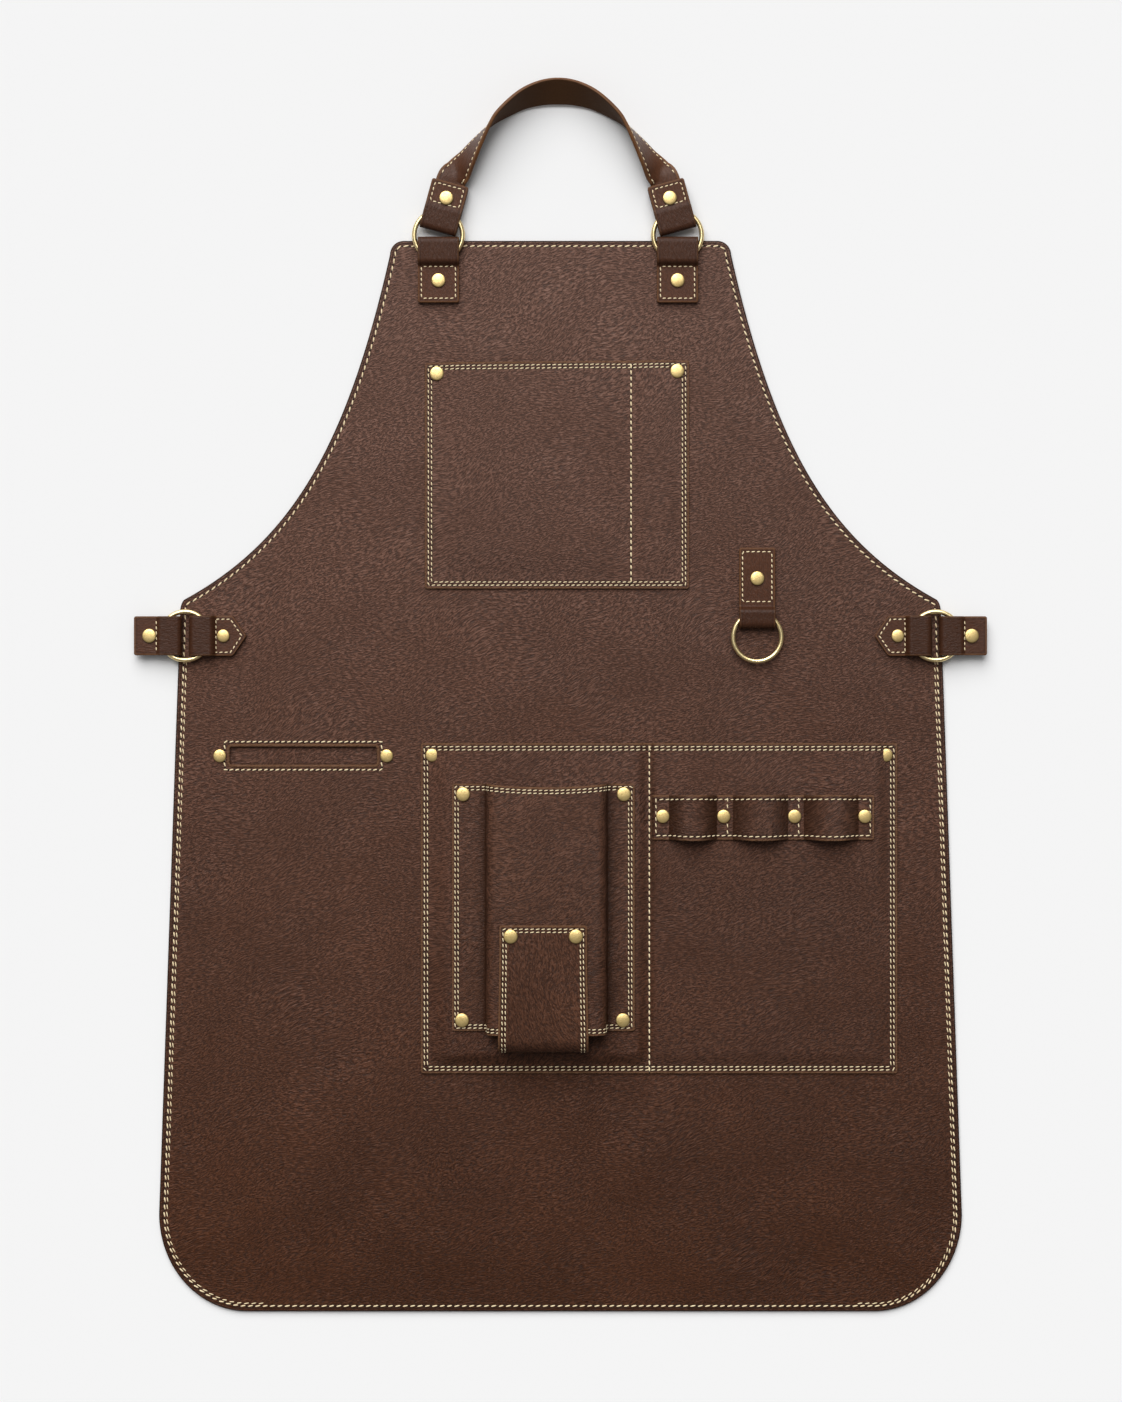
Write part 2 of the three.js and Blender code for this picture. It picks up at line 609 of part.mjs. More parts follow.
function strapRoute() {
  const { closed, rivet, length } = along(UPPER_TAB);
  const [, tabEnd] = onUpperTab(-1, length);
  const inTab = [closed + STRAP_END_GAP, rivet + 5, length + 3.5].map(
    (s) => [...onUpperTab(-1, s), RING_Z, 0]);
  const turning = STRAP_TURNS.map(([out, rise, roll]) => {
    const angle = THREE.MathUtils.degToRad(roll);
    const lean = (STRAP_WIDTH * Math.sin(angle) + STRAP_THICK * Math.abs(Math.cos(angle))) / 2;
    const height = Math.max(RING_Z, lean + FLOOR_CLEARANCE);
    return [NECK_X - out * NECK_RING_X, tabEnd + rise * NECK_ARCH, height, roll];
  });
  const half = [...inTab, ...turning];
  const mirrored = half.slice(0, -1).reverse().map(([x, ...rest]) => [2 * NECK_X - x, ...rest]);
  return [...half, ...mirrored];
}

// A ribbon along the route, rolled about it as it goes.
function neckStrap() {
  const route = strapRoute();
  const path = new THREE.CatmullRomCurve3(route.map(([x, y, z]) => new THREE.Vector3(x, y, z)));
  const last = route.length - 1;
  const rollAt = (share) => {
    const stop = Math.min(Math.floor(share * last), last - 1);
    return THREE.MathUtils.lerp(route[stop][3], route[stop + 1][3], share * last - stop);
  };
  const steps = 3 * last; // three to each stretch between stops
  const geometry = new THREE.BoxGeometry(steps, 2, 1, steps, 2, 1);
  const at = geometry.attributes.position;
  const up = new THREE.Vector3(0, 0, 1);
  for (let i = 0; i < at.count; i += 1) {
    const share = at.getX(i) / steps + 0.5;
    const tangent = path.getTangent(share);
    const inward = tangent.clone().cross(up).normalize();
    const rise = inward.clone().cross(tangent);
    const roll = THREE.MathUtils.degToRad(rollAt(share));
    const width = inward.multiplyScalar(Math.cos(roll)).addScaledVector(rise, Math.sin(roll));
    const through = tangent.clone().cross(width);
    const point = path.getPoint(share)
      .addScaledVector(width, (at.getY(i) * STRAP_WIDTH) / 2)
      .addScaledVector(through, at.getZ(i) * STRAP_THICK);
    at.setXYZ(i, point.x, point.y, point.z);
  }
  return geometry;
}

add('neck_strap', drill(neckStrap(), upperTabRivets), 'strap_leather');

// ---- tool ring ----

add('tool_ring_tab', foldedTab(TOOL_TAB, SEWN_BACK, SEWN_FRONT), 'strap_leather',
  { x: TOOL_RING.x, y: toolFold, turn: Math.PI / 2 });
addRivet('tool_ring_tab_rivet', ...toolTabRivet, PANEL_BACK, SEWN_TOP);
ring('tool_ring', TOOL_RING.x, TOOL_RING.y);

// ---- waist: pointed tabs, rings and the folded ends of the waist straps ----

const strapEndFold = waistRingX + STRAP_END.offset;
const strapEndRivet = strapEndFold + along(STRAP_END).rivet;
SIDES.forEach(([word, side], i) => {
  add(`waist_tab_${word}`, foldedTab(WAIST_TAB, SEWN_BACK, SEWN_FRONT), 'strap_leather',
    { x: side * waistFold, y: WAIST_Y, turn: side > 0 ? Math.PI : 0 });
  addRivet(`waist_tab_rivet_${word}`, ...waistTabRivets[i], PANEL_BACK, SEWN_TOP);
  ring(`waist_ring_${word}`, side * waistRingX, WAIST_Y);

  const backIn = RING_Z - LAYER_GAP / 2;
  const frontIn = RING_Z + LAYER_GAP / 2;
  add(`waist_strap_end_${word}`, foldedTab(STRAP_END, backIn, frontIn), 'strap_leather',
    { x: side * strapEndFold, y: WAIST_Y, turn: side > 0 ? 0 : Math.PI });
  addRivet(`waist_strap_end_rivet_${word}`, side * strapEndRivet, WAIST_Y,
    backIn - TAB_THICK, frontIn + TAB_THICK);
});

export default apron;
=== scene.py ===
"""Leather welding apron lying flat on a pale floor: the looks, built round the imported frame.

Sizes in this file are millimetres; meshes are written in metres. +Y runs to the neck, +Z is up.
A leather piece is a flat cut, given as places s along and w across it, laid along a surface by
its own lay function, which also takes h, the height through the leather from its middle.
"""

import math

import bpy
import numpy as np
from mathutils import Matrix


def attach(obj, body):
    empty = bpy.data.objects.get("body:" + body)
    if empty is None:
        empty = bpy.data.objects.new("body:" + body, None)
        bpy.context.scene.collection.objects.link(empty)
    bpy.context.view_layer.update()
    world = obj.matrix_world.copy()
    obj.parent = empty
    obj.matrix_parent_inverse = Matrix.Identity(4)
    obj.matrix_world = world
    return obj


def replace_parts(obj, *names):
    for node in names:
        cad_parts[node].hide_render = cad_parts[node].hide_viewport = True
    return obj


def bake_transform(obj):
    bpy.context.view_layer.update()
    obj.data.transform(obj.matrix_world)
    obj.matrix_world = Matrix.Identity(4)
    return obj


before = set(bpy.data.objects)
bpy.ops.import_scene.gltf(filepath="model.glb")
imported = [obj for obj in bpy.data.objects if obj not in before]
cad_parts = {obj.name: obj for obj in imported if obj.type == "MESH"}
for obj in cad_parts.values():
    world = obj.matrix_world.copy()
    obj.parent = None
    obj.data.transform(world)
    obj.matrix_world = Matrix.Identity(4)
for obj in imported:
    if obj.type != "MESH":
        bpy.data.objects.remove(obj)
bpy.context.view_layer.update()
MM = 0.001

# ---- levels and sizes shared with the frame ----
PANEL_BACK = 1.4
PANEL_MIDDLE = 2.4
PANEL_FRONT = 3.4
POCKET_MIDDLE = 4.3
POCKET_FRONT = 5.1
TAB_FRONT = 7.2
FLANGE_BACK = 9.9
FLANGE_FRONT = 13.2
LOOP_FRONT = 13.4
TONGUE_BACK = 33.6
TONGUE_FRONT = 36.9
POCKET_THICK = 1.6
TAB_THICK = 1.8
RING_Z = 7.7
RING_RADIUS = 19.3
WIRE_RADIUS = 1.9
NECK_X = -2.0
NECK_RING_X = 95.4
NECK_RING_Y = 367.6
WAIST_RING_X = 299.4
WAIST_Y = 48.0
SLOT_Y = -47.8
BIB_LEFT = -108.4
BIB_MIDDLE_Y = 176.4
TOOL_LEFT = -111.6
TOOL_MIDDLE_Y = -169.6
HOLSTER_X = -11.2
SIDES = (("left", -1), ("right", 1))


# ---- small formulas ----

def smooth(value, start, end):
    """Smoothstep: 0 before start, 1 after end, and 3t^2 - 2t^3 between."""
    t = np.clip((np.asarray(value, float) - start) / (end - start), 0, 1)
    return t * t * (3 - 2 * t)


def bell(value, centre, width):
    """A bell: e to the power of minus ((value - centre) / width) squared."""
    return np.exp(-((np.asarray(value, float) - centre) / width) ** 2)


def distances(path):
    """Distance along a polyline at each of its points, from 0."""
    steps = np.linalg.norm(np.diff(path, axis=0), axis=1)
    return np.concatenate([[0.0], np.cumsum(steps)])


def walk(path, stops):
    """Points at the given distances along a polyline, by straight interpolation."""
    reach = distances(path)
    return np.stack([np.interp(stops, reach, path[:, k]) for k in range(path.shape[1])], axis=-1)


def unit(vectors):
    """Each vector divided by its length."""
    return vectors / np.maximum(np.linalg.norm(vectors, axis=-1, keepdims=True), 1e-12)


def arc(cx, cy, rx, ry, start, end, steps):
    """Points centre + (rx cos a, ry sin a), for a from start to end in degrees."""
    a = np.radians(np.linspace(start, end, steps + 1))
    return np.stack([cx + rx * np.cos(a), cy + ry * np.sin(a)], axis=1)


def rounded(corners, radii, steps=8):
    """A polyline with each inner corner replaced by an arc of its radius.

    The arc touches both legs at radius * tan(turn / 2) from the corner, and its points swing
    round the centre from one touching point to the other.
    """
    corners = np.asarray(corners, float)
    parts = [corners[:1]]
    for before, corner, after, radius in zip(corners[:-2], corners[1:-1], corners[2:], radii):
        back = unit(before - corner)
        on = unit(after - corner)
        half = math.acos(np.clip(back @ on, -1, 1)) / 2
        reach = radius / math.tan(half)
        centre = corner + unit(back + on) * radius / math.sin(half)
        start = corner + back * reach - centre
        end = corner + on * reach - centre
        t = np.linspace(0, 1, steps + 1)[:, None]
        parts.append(centre + radius * unit(start * (1 - t) + end * t))
    parts.append(corners[-1:])
    return np.vstack(parts)


def edge_share(d, radius):
    """Share of the half thickness at distance d from a cut edge: (1 - (1 - d/r)^2.6)^(1/2.6)."""
    t = 1 - np.clip(d / radius, 0, 1)
    return (1 - t ** 2.6) ** (1 / 2.6)


# ---- meshes ----

def new_piece(name, points, faces, finishes, flat=None, marks=None, finish_of=None):
    """Object from points in mm and arrays of faces, turned to face outwards.

    The signed volume, the sum of v0 . (v1 x v2) / 6 over the triangles, says which way the
    closed surface looks, and a negative one turns every face round.
    """
    tris = np.vstack([f[:, [0, k, k + 1]] for f in faces for k in range(1, f.shape[1] - 1)])
    a, b, c = (points[tris[:, k]] for k in range(3))
    if np.einsum("ij,ij->i", a, np.cross(b, c)).sum() < 0:
        faces = [f[:, ::-1] for f in faces]
    corners = np.concatenate([f.ravel() for f in faces]).astype(np.int32)
    sizes = np.concatenate([np.full(len(f), f.shape[1]) for f in faces])
    starts = np.concatenate([[0], np.cumsum(sizes)[:-1]]).astype(np.int32)
    mesh = bpy.data.meshes.new(name)
    mesh.vertices.add(len(points))
    mesh.vertices.foreach_set("co", (points * MM).astype(np.float32).ravel())
    mesh.loops.add(len(corners))
    mesh.loops.foreach_set("vertex_index", corners)
    mesh.polygons.add(len(sizes))
    mesh.polygons.foreach_set("loop_start", starts)
    mesh.polygons.foreach_set("use_smooth", np.ones(len(sizes), bool))
    for finish in finishes:
        mesh.materials.append(finish)
    if finish_of is not None:
        mesh.polygons.foreach_set("material_index", finish_of.astype(np.int32))
    mesh.update(calc_edges=True)
    if flat is not None:
        layer = mesh.uv_layers.new(name="cut")
        layer.data.foreach_set("uv", (flat[corners] * MM).astype(np.float32).ravel())
    for mark, values in (marks or {}).items():
        attribute = mesh.attributes.new(mark, "FLOAT", "POINT")
        attribute.data.foreach_set("value", values.astype(np.float32))
    mesh.validate()
    piece = bpy.data.objects.new(name, mesh)
    bpy.context.scene.collection.objects.link(piece)
    return piece


def cells(index, keep=None):
    """Four-cornered faces of a grid of vertex numbers, less the cells that keep leaves out."""
    quads = np.stack([index[:-1, :-1], index[:-1, 1:], index[1:, 1:], index[1:, :-1]], axis=-1)
    return quads[keep] if keep is not None else quads.reshape(-1, 4)


def strip(outer, inner):
    """Faces between two closed loops of vertex numbers with the same count."""
    return np.stack([outer, np.roll(outer, -1), np.roll(inner, -1), inner], axis=1)


def rim_of(index):
    """The vertex numbers round a grid's rim, anticlockwise from its first corner."""
    return np.concatenate([index[0, :-1], index[:-1, -1], index[-1, :0:-1], index[:0:-1, 0]])


def lines(length, step, seams=(), at=(), edge=0.8):
    """Grid stops from 0 to length: close ones in the rounded edge, some at the seams, and evenly
    spaced ones between, with extra stops round each place in at."""
    near = np.concatenate([edge * np.array([0, 0.05, 0.18, 0.42, 0.72, 1.0]), seams])
    inner = near[-1] + step / 2
    count = max(2, int(round((length - 2 * inner) / step)))
    middle = np.linspace(inner, length - inner, count + 1)
    close = [place + np.array([-2.4, -1.5, -0.8, -0.3, 0.3, 0.8, 1.5, 2.4]) for place in at]
    for place in at:
        middle = middle[np.abs(middle - place) > 2.9]
    return np.sort(np.concatenate([near, middle, length - near, *close]))


def inset(s, w, length, width, corner):
    """Distance in from a rectangle with round corners: the corner's radius less the length of
    how far (s, w) passes the corner's centre, or the nearest side's distance."""
    a = np.abs(s - length / 2) - (length / 2 - corner)
    b = np.abs(w) - (width / 2 - corner)
    outside = np.hypot(np.maximum(a, 0), np.maximum(b, 0))
    return np.maximum(corner - outside - np.minimum(np.maximum(a, b), 0), 0)


def round_corners(s, w, length, width, corner):
    """Pulls the corners of a grid in to round ones: in each corner's square the shares (u, v)
    become (u sqrt(1 - v^2/2), v sqrt(1 - u^2/2)), which maps a square to a disc."""
    ds = s - length / 2
    dw = w
    u = np.clip((np.abs(ds) - (length / 2 - corner)) / corner, 0, 1)
    v = np.clip((np.abs(dw) - (width / 2 - corner)) / corner, 0, 1)
    s = s + np.sign(ds) * corner * (u * np.sqrt(1 - v * v / 2) - u)
    w = w + np.sign(dw) * corner * (v * np.sqrt(1 - u * u / 2) - v)
    return s, w


def leather_strip(name, length, width, thick, lay, finish, along, across, corner=2.0,
                  edge=0.8, press=None, outline=None, bend=None):
    """A closed rectangle of leather, cut length by width, and laid along a surface.

    along and across are the grid's stops. The front and back faces share their rim, and the
    half thickness there falls by edge_share. press(s, w, d) is how far the front is pressed in,
    outline(s, w) moves the flat cut to another outline, and bend(s) marks the folds and other
    places that get painted shade.
    """
    s, w = np.meshgrid(along, across - width / 2, indexing="ij")
    s, w = round_corners(s, w, length, width, corner)
    d = inset(s, w, length, width, corner)
    half = thick / 2 * edge_share(d, edge)
    half[0], half[-1], half[:, 0], half[:, -1] = 0, 0, 0, 0
    if outline is not None:
        s, w = outline(s, w)
    dent = press(s, w, d) if press is not None else 0 * d
    front = lay(s, w, half - dent * edge_share(d, edge * 2))
    back = lay(s, w, -half)
    count = s.size
    top = np.arange(count).reshape(s.shape)
    inner = np.zeros(s.shape, bool)
    inner[1:-1, 1:-1] = True
    below = top.copy()
    below[inner] = count + np.arange(inner.sum())
    points = np.vstack([front.reshape(-1, 3), back[inner]])
    flat = np.stack([s, w], axis=-1)
    flat = np.vstack([flat.reshape(-1, 2), flat[inner]])
    rim = np.concatenate([d.ravel(), d[inner]])
    side = np.concatenate([(2 * half / thick).ravel(), (-2 * half / thick)[inner]])
    faces = [np.vstack([cells(top), cells(below)[:, ::-1]])]
    marks = {"rim": rim, "side": side}
    if bend is not None:
        marks["bend"] = bend(flat[:, 0])
    return new_piece(name, points, faces, [finish], flat, marks)


def lathe(name, profile, x, y, finish, around=40):
    """A closed turned piece: each profile point (r, z) goes round the upright axis at (x, y).

    The first and last profile points lie on the axis and are single poles.
    """
    profile = np.asarray(profile, float)
    a = np.linspace(0, 2 * np.pi, around, endpoint=False)
    inner = profile[1:-1]
    rings = np.stack([
        x + inner[:, :1] * np.cos(a), y + inner[:, :1] * np.sin(a),
        np.repeat(inner[:, 1:], around, axis=1)], axis=-1)
    poles = np.array([[x, y, profile[0, 1]], [x, y, profile[-1, 1]]])
    points = np.vstack([poles, rings.reshape(-1, 3)])
    index = 2 + np.arange(len(inner) * around).reshape(len(inner), around)
    loops = [strip(index[k], index[k + 1]) for k in range(len(inner) - 1)]
    near = np.stack([np.full(around, 0), np.roll(index[0], -1), index[0]], axis=1)
    far = np.stack([np.full(around, 1), index[-1], np.roll(index[-1], -1)], axis=1)
    # The out mark, each radius as a share of the widest, sets painted shade on the rim of a turned
    # piece.
    wear_and_edge_shade = np.concatenate([[profile[0, 0], profile[-1, 0]], np.repeat(inner[:, 0], around)])
    wear_and_edge_shade = wear_and_edge_shade / wear_and_edge_shade.max()
    return new_piece(name, points, [np.vstack(loops), near, far], [finish],
                     marks={"out": wear_and_edge_shade})


def ring_of_wire(name, x, y, finish, around=112, across=20):
    """A round ring: the wire's circle carried round the ring's, (R + r cos b, r sin b)."""
    a, b = np.meshgrid(np.linspace(0, 2 * np.pi, around, endpoint=False),
                       np.linspace(0, 2 * np.pi, across, endpoint=False), indexing="ij")
    out = RING_RADIUS + WIRE_RADIUS * np.cos(b)
    points = np.stack([x + out * np.cos(a), y + out * np.sin(a),
                       RING_Z + WIRE_RADIUS * np.sin(b)], axis=-1)
    index = np.arange(a.size).reshape(a.shape)
    wrapped = np.pad(index, ((0, 1), (0, 1)), mode="wrap")
    # The out mark is highest on the wire's outer side, for painted shade there.
    return new_piece(name, points.reshape(-1, 3), [cells(wrapped)], [finish],
                     marks={"out": (0.5 + 0.4 * np.cos(b)).ravel()})


# ---- finishes ----

def node(tree, kind, sockets=None, **settings):
    """Adds a node, sets its settings, and fills or links its sockets by name or number."""
    made = tree.nodes.new(kind)
    for key, value in settings.items():
        setattr(made, key, value)
    for key, value in (sockets or {}).items():
        if isinstance(value, bpy.types.NodeSocket):
            tree.links.new(value, made.inputs[key])
        else:
            made.inputs[key].default_value = value
    return made


def blended(tree, share, first, second, how="MIX"):
    """Mixes two colours by a share."""
    mix = node(tree, "ShaderNodeMix", {0: share, 6: first, 7: second},
               data_type="RGBA", blend_type=how)
    return mix.outputs[2]


def sums(tree, how, first, second):
    """One sum of two numbers or sockets."""
    return node(tree, "ShaderNodeMath", {0: first, 1: second}, operation=how).outputs[0]


def ranged(tree, value, low, high, to_low=0.0, to_high=1.0, how="SMOOTHSTEP"):
    """Maps a value from one range to another, and holds it at the ends."""
    made = node(tree, "ShaderNodeMapRange",
                {"Value": value, "From Min": low, "From Max": high,
                 "To Min": to_low, "To Max": to_high}, interpolation_type=how)
    return made.outputs["Result"]


def new_finish(name):
    """A material with an empty tree but for its shader."""
    finish = bpy.data.materials.new(name)
    finish.use_nodes = True
    tree = finish.node_tree
    return finish, tree, tree.nodes["Principled BSDF"]


def leather(name, dark, light, edge_tone, edge_width, grain, roughness, shift, band,
            dust_and_sheen=1.0, hollow_shade=1.0, back=((0.10, 0.052, 0.028), (0.17, 0.095, 0.055))):
    """Full-grain leather with a burnished edge and a suede back.

    Long creases and small pebbles flow with a slow drift of the cut's own coordinates; both
    raise the surface, and their hollows get painted shade, as far as the hollow-shade strength
    says. Slow mottling moves the colour between dark and light. Two slow gradients of painted
    light are in the colour, as if from a light beyond the neck: a painted sheen makes it paler
    and greyer towards the neck, as strongly as the sheen share says, and a painted falloff makes
    it darker to the hem and the right. Near a cut edge the colour goes to the edge's tone; inside
    it a band (from, to, share) gets painted shade where the seams pull the leather down, and the
    places marked by bend, folds and the feet of walls, get painted shade. The back has two tones
    of its own.
    """
    finish, tree, shader = new_finish(name)
    cut = node(tree, "ShaderNodeUVMap", uv_map="cut").outputs[0]
    cut = node(tree, "ShaderNodeVectorMath", {0: cut, 1: (shift, shift * 0.7, shift * 0.3)},
               operation="ADD").outputs[0]
    drift = node(tree, "ShaderNodeTexNoise", {"Vector": cut, "Scale": 11.0, "Detail": 1.0})
    drift = node(tree, "ShaderNodeVectorMath", {0: drift.outputs["Color"], 1: (0.5, 0.5, 0.5)},
                 operation="SUBTRACT").outputs[0]
    drift = node(tree, "ShaderNodeVectorMath", {0: drift, 1: (0.05, 0.05, 0.0)},
                 operation="MULTIPLY").outputs[0]
    flow = node(tree, "ShaderNodeVectorMath", {0: cut, 1: drift}, operation="ADD").outputs[0]
    turned = node(tree, "ShaderNodeMapping", {
        "Vector": flow, "Rotation": (0, 0, math.radians(20)), "Scale": (1.15, 0.38, 1.0)},
        vector_type="TEXTURE")
    crease = node(tree, "ShaderNodeTexNoise", {
        "Vector": turned.outputs[0], "Scale": 330.0, "Detail": 3.0, "Roughness": 0.6,
        "Distortion": 0.4}).outputs["Fac"]
    pebble = node(tree, "ShaderNodeTexVoronoi", {
        "Vector": turned.outputs[0], "Scale": 620.0}, feature="SMOOTH_F1")
    pebble.inputs["Smoothness"].default_value = 0.35
    pebble = pebble.outputs["Distance"]
    pore = node(tree, "ShaderNodeTexNoise", {"Vector": cut, "Scale": 2400.0, "Detail": 2.0})
    mottle = node(tree, "ShaderNodeTexNoise", {
        "Vector": cut, "Scale": 16.0, "Detail": 5.0, "Roughness": 0.6}).outputs["Fac"]
    cloud = node(tree, "ShaderNodeTexNoise", {
        "Vector": cut, "Scale": 4.5, "Detail": 2.0}).outputs["Fac"]

    hollow = ranged(tree, crease, 0.39, 0.60, 0.0, 1.0)
    tone = sums(tree, "ADD", sums(tree, "MULTIPLY", mottle, 0.55),
                sums(tree, "MULTIPLY", cloud, 0.45))
    tone = ranged(tree, tone, 0.36, 0.64)
    colour = blended(tree, tone, (*dark, 1), (*light, 1))
    # Painted sheen: going up the apron, the colour goes to a paler, greyer tone towards the neck, as
    # a light beyond the neck would shine on it.
    place = node(tree, "ShaderNodeTexCoord").outputs["Object"]
    place = node(tree, "ShaderNodeSeparateXYZ", {0: place})
    painted_sheen = ranged(tree, place.outputs["Y"], -0.46, 0.38, 0.0, dust_and_sheen, "LINEAR")
    colour = blended(tree, painted_sheen, colour, (0.130, 0.069, 0.0505, 1))
    # Painted falloff of that light: the colour is scaled from 0.88 at the hem to 1.25 at the neck,
    # and from 1.05 on the left to 0.92 on the right.
    painted_falloff = sums(tree, "MULTIPLY",
                ranged(tree, place.outputs["Y"], -0.50, 0.40, 0.88, 1.25, "LINEAR"),
                ranged(tree, place.outputs["X"], -0.30, 0.34, 1.05, 0.92, "LINEAR"))
    # Painted shade: the crease hollows and the valleys between pebbles are darker, by the
    # hollow-shade strength, and the painted falloff multiplies in.
    shade = sums(tree, "ADD", sums(tree, "MULTIPLY", hollow, 0.72 * hollow_shade),
                 sums(tree, "MULTIPLY", pebble, -0.40 * hollow_shade))
    shade = sums(tree, "MULTIPLY", sums(tree, "ADD", shade, 1.04 - 0.30 * hollow_shade), painted_falloff)
    grey = node(tree, "ShaderNodeCombineColor", {0: shade, 1: shade, 2: shade}).outputs[0]
    colour = blended(tree, 1.0, colour, grey, "MULTIPLY")

    rim = node(tree, "ShaderNodeAttribute", attribute_name="rim").outputs["Fac"]
    side = node(tree, "ShaderNodeAttribute", attribute_name="side").outputs["Fac"]
    wear_and_edge_shade = node(tree, "ShaderNodeTexNoise", {"Vector": cut, "Scale": 90.0, "Detail": 3.0})
    worn = sums(tree, "MULTIPLY", ranged(tree, wear_and_edge_shade.outputs["Fac"], 0.3, 0.7, 0.6, 1.0),
                ranged(tree, rim, edge_width * 0.45, edge_width, 1.0, 0.0))
    colour = blended(tree, worn, colour, (*edge_tone, 1))
    # Painted shade: a darker band in the channel where the seams press the leather down.
    start, end, share = band
    painted_seam_shade = sums(tree, "MULTIPLY", ranged(tree, rim, start - 0.5, start + 0.1, 0.0, share),
                  ranged(tree, rim, end - 0.3, end + 0.7, 1.0, 0.0))
    colour = blended(tree, painted_seam_shade, colour, (dark[0] * 0.25, dark[1] * 0.25, dark[2] * 0.25, 1))
    # Painted shade where the bend mark is set: on folds and at the feet of walls.
    painted_fold_shade = node(tree, "ShaderNodeAttribute", attribute_name="bend").outputs["Fac"]
    colour = blended(tree, painted_fold_shade, colour, (0.026, 0.0085, 0.0028, 1))
    nap = node(tree, "ShaderNodeTexNoise", {"Vector": cut, "Scale": 700.0, "Detail": 4.0})
    suede = blended(tree, nap.outputs["Fac"], (*back[0], 1), (*back[1], 1))
    behind = ranged(tree, side, -0.95, -0.6, 1.0, 0.0)
    colour = blended(tree, behind, colour, suede)
    tree.links.new(colour, shader.inputs["Base Color"])

    gloss = sums(tree, "ADD", sums(tree, "MULTIPLY", mottle, 0.16), roughness - 0.08)
    gloss = sums(tree, "ADD", gloss, sums(tree, "MULTIPLY", hollow, -0.05))
    gloss = sums(tree, "ADD", gloss, sums(tree, "MULTIPLY", behind, 0.35))
    tree.links.new(gloss, shader.inputs["Roughness"])

    height = sums(tree, "ADD", sums(tree, "MULTIPLY", hollow, 0.55),
                  sums(tree, "MULTIPLY", pebble, -0.5))
    height = sums(tree, "ADD", height, sums(tree, "MULTIPLY", pore.outputs["Fac"], 0.12))
    height = sums(tree, "ADD", height, sums(tree, "MULTIPLY", mottle, 0.3))
    bump = node(tree, "ShaderNodeBump", {
        "Strength": grain, "Distance": 0.0016, "Height": height})
    tree.links.new(bump.outputs[0], shader.inputs["Normal"])
    shader.inputs["Specular IOR Level"].default_value = 0.16
    return finish


def brass(name, bright, dull, roughness, brush):
    """Satin brass: bright where it is rubbed, duller by a slow patina, and duller and darker
    towards its rim by painted shade, with fine brushing that raises the surface a little."""
    finish, tree, shader = new_finish(name)
    place = node(tree, "ShaderNodeTexCoord").outputs["Object"]
    patina = node(tree, "ShaderNodeTexNoise", {
        "Vector": place, "Scale": 260.0, "Detail": 4.0, "Roughness": 0.6}).outputs["Fac"]
    # Painted shade: towards the rim, marked by out, the brass goes duller and darker; the slow patina
    # is the brass's own.
    out = node(tree, "ShaderNodeAttribute", attribute_name="out").outputs["Fac"]
    rim = ranged(tree, out, 0.78, 1.0, 0.0, 0.7)
    share = sums(tree, "MAXIMUM", ranged(tree, patina, 0.45, 0.75, 0.0, 0.6), rim)
    colour = blended(tree, share, (*bright, 1), (*dull, 1))
    tree.links.new(colour, shader.inputs["Base Color"])
    lines_of = node(tree, "ShaderNodeMapping", {"Vector": place, "Scale": (1.0, 9.0, 1.0)})
    scratch = node(tree, "ShaderNodeTexNoise", {
        "Vector": lines_of.outputs[0], "Scale": 900.0, "Detail": 3.0}).outputs["Fac"]
    gloss = sums(tree, "ADD", sums(tree, "MULTIPLY", scratch, 0.12), roughness - 0.06)
    gloss = sums(tree, "ADD", gloss, sums(tree, "MULTIPLY", share, 0.12))
    tree.links.new(gloss, shader.inputs["Roughness"])
    bump = node(tree, "ShaderNodeBump", {
        "Strength": brush, "Distance": 0.0001, "Height": scratch})
    tree.links.new(bump.outputs[0], shader.inputs["Normal"])
    shader.inputs["Metallic"].default_value = 1.0
    return finish


def waxed_thread():
    """Cream waxed thread: two plies that turn along each stitch, with painted shade between them."""
    finish, tree, shader = new_finish("waxed_thread")
    cut = node(tree, "ShaderNodeUVMap", uv_map="cut").outputs[0]
    turned = node(tree, "ShaderNodeMapping", {
        "Vector": cut, "Rotation": (0, 0, math.radians(35)), "Scale": (1.0, 1.0, 1.0)})
    ply = node(tree, "ShaderNodeTexWave", {
        "Vector": turned.outputs[0], "Scale": 380.0, "Distortion": 0.4}).outputs["Fac"]
    place = node(tree, "ShaderNodeTexCoord").outputs["Object"]
    dust_and_sheen = node(tree, "ShaderNodeTexNoise", {"Vector": place, "Scale": 120.0, "Detail": 3.0})
    # Painted shade: the hollows between the plies go to a darker orange-brown; the slow noise varies
    # the tone at random.
    tone = sums(tree, "MULTIPLY", ranged(tree, ply, 0.0, 0.6, 0.55, 1.0),
                ranged(tree, dust_and_sheen.outputs["Fac"], 0.3, 0.7, 0.8, 1.0))
    colour = blended(tree, tone, (0.62, 0.39, 0.17, 1), (1.0, 0.85, 0.55, 1))
    tree.links.new(colour, shader.inputs["Base Color"])
    bump = node(tree, "ShaderNodeBump", {"Strength": 0.6, "Distance": 0.0002, "Height": ply})
    tree.links.new(bump.outputs[0], shader.inputs["Normal"])
    shader.inputs["Roughness"].default_value = 0.62
    shader.inputs["Sheen Weight"].default_value = 0.15
    return finish


